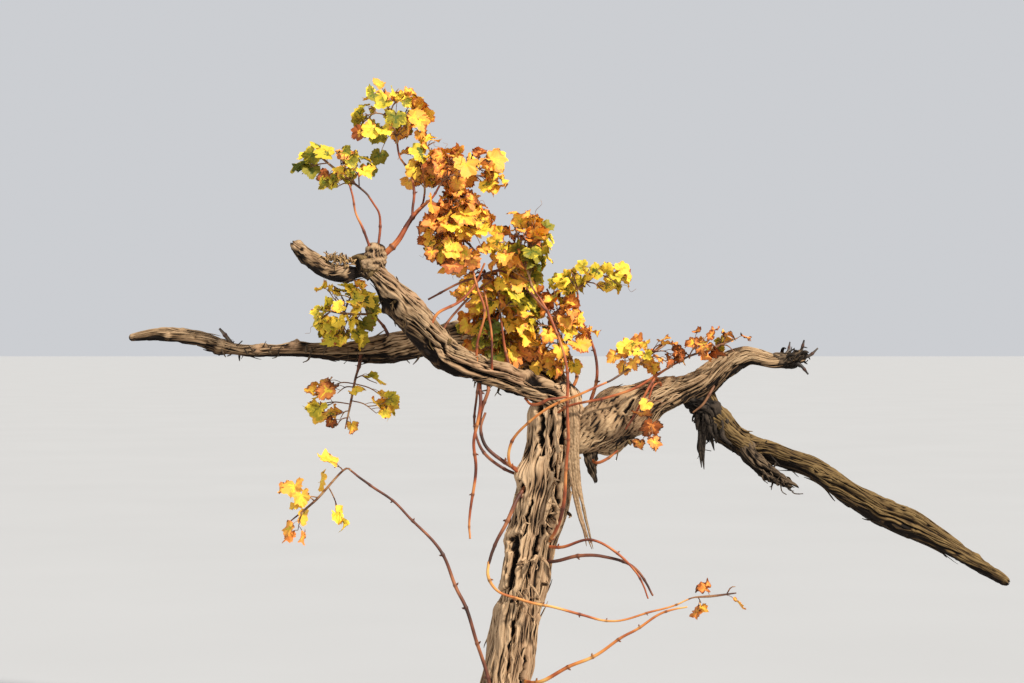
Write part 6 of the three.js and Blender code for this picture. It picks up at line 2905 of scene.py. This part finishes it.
CLUSTERS = (
    Cluster(
        "crown_tip_leaves", "top_cane", "gold_leaves", centre=(-0.234, -0.06, 1.606),
        radii=(0.104, 0.082, 0.086), shoots=9, seed=11,
        palette={
            Tint.LIME: 2.5, Tint.OLIVE: 3, Tint.GOLD: 3, Tint.AMBER: 2.5, Tint.ORANGE: 1.5, Tint.RUST: 1,
        },
        marked=(
            ((-0.262, -0.06, 1.5, 0.05), Tint.OLIVE), ((-0.276, -0.11, 1.65, 0.05), Tint.GREEN),
            ((-0.25, -0.115, 1.628, 0.05), Tint.OLIVE), ((-0.217, -0.12, 1.589, 0.052), Tint.OLIVE),
            ((-0.244, -0.115, 1.563, 0.046), Tint.LEMON), ((-0.28, -0.11, 1.562, 0.05), Tint.GOLD),
            ((-0.312, -0.09, 1.558, 0.042), Tint.RUST), ((-0.158, -0.1, 1.584, 0.052), Tint.AMBER),
        ),
    ),
    Cluster(
        "left_spray_leaves", "left_cane_high", "green_leaves", centre=(-0.372, -0.1, 1.474),
        radii=(0.104, 0.072, 0.074), shoots=7, seed=23,
        palette={Tint.LIME: 3, Tint.OLIVE: 3, Tint.GOLD: 1, Tint.RUST: 1}, twigs_per_shoot=1,
        marked=(
            ((-0.426, -0.104, 1.499, 0.05), Tint.OLIVE), ((-0.426, -0.104, 1.465, 0.048), Tint.OLIVE),
            ((-0.388, -0.108, 1.443, 0.052), Tint.RUST), ((-0.34, -0.112, 1.5, 0.05), Tint.ORANGE),
        ),
    ),
    Cluster(
        "neck_leaves", "neck_cane", "gold_leaves", centre=(-0.154, -0.024, 1.488),
        radii=(0.07, 0.066, 0.088), shoots=5, seed=29, palette={Tint.ORANGE: 2, Tint.GOLD: 3, Tint.LIME: 1},
        marked=(((-0.163, -0.08, 1.512, 0.056), Tint.LIME), ((-0.178, -0.08, 1.467, 0.044), Tint.LEMON)),
    ),
    Cluster(
        "shoulder_leaves", "shoulder_cane", "orange_leaves", centre=(-0.058, -0.05, 1.47),
        radii=(0.118, 0.082, 0.076), shoots=10, seed=37,
        palette={
            Tint.AMBER: 3, Tint.ORANGE: 1.5, Tint.LIME: 1.2, Tint.GOLD: 3.5, Tint.OLIVE: 1, Tint.RUST: 1,
        },
    ),
    Cluster(
        "heart_leaves", "upper_cane", "orange_leaves", centre=(-0.07, -0.06, 1.316),
        radii=(0.096, 0.09, 0.11), shoots=11, seed=41,
        palette={Tint.GOLD: 3, Tint.AMBER: 4.5, Tint.ORANGE: 3, Tint.LEMON: 1, Tint.RUST: 1.2},
        twigs_per_shoot=7,
        marked=(
            ((-0.134, -0.12, 1.338, 0.052), Tint.RUST), ((-0.08, -0.125, 1.228, 0.052), Tint.RUST),
            ((-0.128, -0.12, 1.378, 0.056), Tint.AMBER), ((-0.076, -0.128, 1.266, 0.048), Tint.GOLD),
            ((-0.006, -0.12, 1.314, 0.05), Tint.LEMON), ((-0.13, -0.12, 1.262, 0.036), Tint.RUST),
        ),
    ),
    Cluster(
        "slope_leaves", "front_cane", "orange_leaves", centre=(0.092, -0.04, 1.274),
        radii=(0.09, 0.084, 0.106), shoots=10, seed=53,
        palette={
            Tint.ORANGE: 1.5, Tint.AMBER: 3, Tint.GOLD: 3.5, Tint.LEMON: 1, Tint.RUST: 1.3, Tint.OLIVE: 0.7,
        },
        twigs_per_shoot=3,
    ),
    Cluster(
        "bridge_leaves", "bridge_cane", "orange_leaves", centre=(0.034, -0.02, 1.172),
        radii=(0.116, 0.076, 0.076), shoots=7, seed=59,
        palette={Tint.LIME: 1, Tint.GOLD: 4, Tint.AMBER: 3, Tint.ORANGE: 1.5}, twigs_per_shoot=4,
    ),
    Cluster(
        "mid_left_leaves", "mid_cane", "green_leaves", centre=(0.036, 0.062, 1.074),
        radii=(0.106, 0.086, 0.118), shoots=11, seed=67,
        palette={
            Tint.OLIVE: 1.5, Tint.LIME: 2, Tint.GOLD: 4, Tint.LEMON: 2, Tint.AMBER: 3.5, Tint.ORANGE: 1.5,
        },
        twigs_per_shoot=5,
    ),
    Cluster(
        "mid_right_leaves", "behind_cane", "gold_leaves", centre=(0.182, 0.07, 1.076),
        radii=(0.1, 0.084, 0.128), shoots=9, seed=71,
        palette={
            Tint.GOLD: 3, Tint.LEMON: 2, Tint.LIME: 2, Tint.OLIVE: 1, Tint.AMBER: 2, Tint.ORANGE: 1.5,
        },
        twigs_per_shoot=5,
    ),
    Cluster(
        "tail_leaves", "tail_cane", "gold_leaves", centre=(0.266, 0.072, 1.204), radii=(0.11, 0.066, 0.05),
        shoots=9, seed=83, palette={Tint.LEMON: 5, Tint.LIME: 2, Tint.AMBER: 1}, twigs_per_shoot=1,
        withered=0.1,
        marked=(
            ((0.191, 0.05, 1.197, 0.042), Tint.LEMON), ((0.243, 0.05, 1.234, 0.038), Tint.LEMON),
            ((0.276, 0.045, 1.222, 0.042), Tint.LEMON), ((0.308, 0.05, 1.228, 0.04), Tint.LEMON),
            ((0.348, 0.055, 1.23, 0.042), Tint.LEMON),
        ),
    ),
    Cluster(
        "right_near_leaves", "crossing_cane", "orange_leaves", centre=(0.404, -0.05, 1.01),
        radii=(0.112, 0.074, 0.058), shoots=7, seed=97,
        palette={Tint.ORANGE: 4, Tint.AMBER: 2, Tint.RUST: 1, Tint.LEMON: 1}, twigs_per_shoot=1,
        leaf_span=0.048,
    ),
    Cluster(
        "right_far_leaves", "long_crossing_cane", "orange_leaves", centre=(0.574, -0.045, 1.034),
        radii=(0.086, 0.062, 0.056), shoots=8, seed=103,
        palette={Tint.GOLD: 1.5, Tint.ORANGE: 4, Tint.LIME: 1, Tint.RUST: 1}, twigs_per_shoot=1,
        leaf_span=0.048,
    ),
    Cluster(
        "back_leaves", "back_spur", "green_leaves", centre=(-0.362, 0.16, 1.118),
        radii=(0.104, 0.076, 0.098), shoots=8, seed=113,
        palette={Tint.LIME: 3, Tint.LEMON: 2, Tint.OLIVE: 2, Tint.AMBER: 0.5},
    ),
    Cluster(
        "hanging_leaves", "hanging_spur", "gold_leaves", centre=(-0.35, 0.195, 0.888),
        radii=(0.126, 0.08, 0.096), shoots=8, seed=127,
        palette={Tint.LEMON: 4, Tint.GOLD: 2, Tint.ORANGE: 1.5}, twigs_per_shoot=1,
    ),
    Cluster(
        "low_left_leaves", "low_left_whip", "gold_leaves", centre=(-0.42, -0.05, 0.652),
        radii=(0.104, 0.072, 0.132), shoots=5, seed=139,
        palette={Tint.LEMON: 2, Tint.GOLD: 3, Tint.AMBER: 1}, twigs_per_shoot=0,
    ),
    Cluster(
        "head_leaves", "head_cane", "orange_leaves", centre=(0.404, -0.094, 0.852),
        radii=(0.066, 0.052, 0.084), shoots=3, seed=149, palette={Tint.ORANGE: 2, Tint.AMBER: 2},
        twigs_per_shoot=0,
        marked=(((0.394, -0.108, 0.89, 0.038), Tint.AMBER), ((0.406, -0.105, 0.832, 0.058), Tint.ORANGE)),
    ),
    Cluster(
        "whip_leaves", "foot_whip", "orange_leaves", centre=(0.56, -0.074, 0.418),
        radii=(0.086, 0.056, 0.062), shoots=2, seed=151, palette={Tint.ORANGE: 3, Tint.GOLD: 1},
        twigs_per_shoot=0,
    ),
)


def vine_finishes() -> Finishes:
    """Makes every material of the vine, by name.

    Returns:
        The materials, by the names that the pieces ask for.
    """
    # The near-black finish paints shade onto the crotch below the head and the shreds and strips that hang in
    # shade; shaded_bark is a darker copy for parts in shade.
    barks = (
        BarkFinish("old_bark"),
        BarkFinish("head_bark", (0.15, 0.088, 0.043), (0.35, 0.222, 0.116), (0.5, 0.345, 0.195)),
        BarkFinish("arm_bark", (0.06, 0.032, 0.014), (0.18, 0.11, 0.055), (0.42, 0.28, 0.158)),
        BarkFinish("shaded_bark", (0.03, 0.016, 0.007), (0.08, 0.046, 0.016), (0.2, 0.128, 0.05)),
        BarkFinish("dead_bark", (0.012, 0.008, 0.005), (0.034, 0.022, 0.013), (0.14, 0.094, 0.055)),
        BarkFinish("painted_shade_bark", (0.006, 0.0045, 0.0035), (0.014, 0.010, 0.0075), (0.05, 0.036, 0.025)),
        BarkFinish("dry_crust", (0.07, 0.04, 0.02), (0.24, 0.13, 0.05), (0.5, 0.33, 0.15)),
    )
    canes = (
        CaneFinish("ripe_cane", (0.1, 0.022, 0.01), (0.34, 0.075, 0.022), (0.58, 0.22, 0.06)),
        CaneFinish("pale_cane", (0.3, 0.065, 0.018), (0.56, 0.19, 0.04), (0.72, 0.4, 0.11)),
        CaneFinish("old_cane", (0.04, 0.015, 0.009), (0.14, 0.04, 0.018), (0.34, 0.12, 0.045)),
        CaneFinish("young_cane", (0.08, 0.033, 0.017), (0.24, 0.1, 0.042), (0.42, 0.24, 0.11)),
        CaneFinish("dead_twig", (0.018, 0.013, 0.01), (0.07, 0.05, 0.036), (0.2, 0.155, 0.115)),
    )
    return {finish.name: finish.material() for finish in (*barks, *canes, *LEAF_FINISHES)}


def main() -> None:
    """Builds the studio and the whole vine in order."""
    Studio().build()
    finishes = vine_finishes()
    for limb in LIMBS:
        limb.dress(finishes)
    canes = {}
    for seed, (name, stations) in enumerate(CANE_STATIONS.items(), CANE_SEED):
        canes[name] = Cane(f"{name}_skin", stations, seed, (name,), CANE_FINISHES.get(name, "ripe_cane"))
        canes[name].dress(finishes)
    for seed, (name, (finish, stations)) in enumerate(THIN_CANES.items(), THIN_CANE_SEED):
        Cane(name, stations, seed, finish=finish, slimness=1.0).dress(finishes)
    for piece in (*BARK_SHREDS, *STRAPS):
        piece.dress(finishes)
    limbs = LimbField.of([limb.route for limb in LIMBS])
    for cluster in CLUSTERS:
        cluster.grow(canes[cluster.bearer].route, limbs)
        cluster.dress(finishes)


if __name__ == "__main__":
    main()
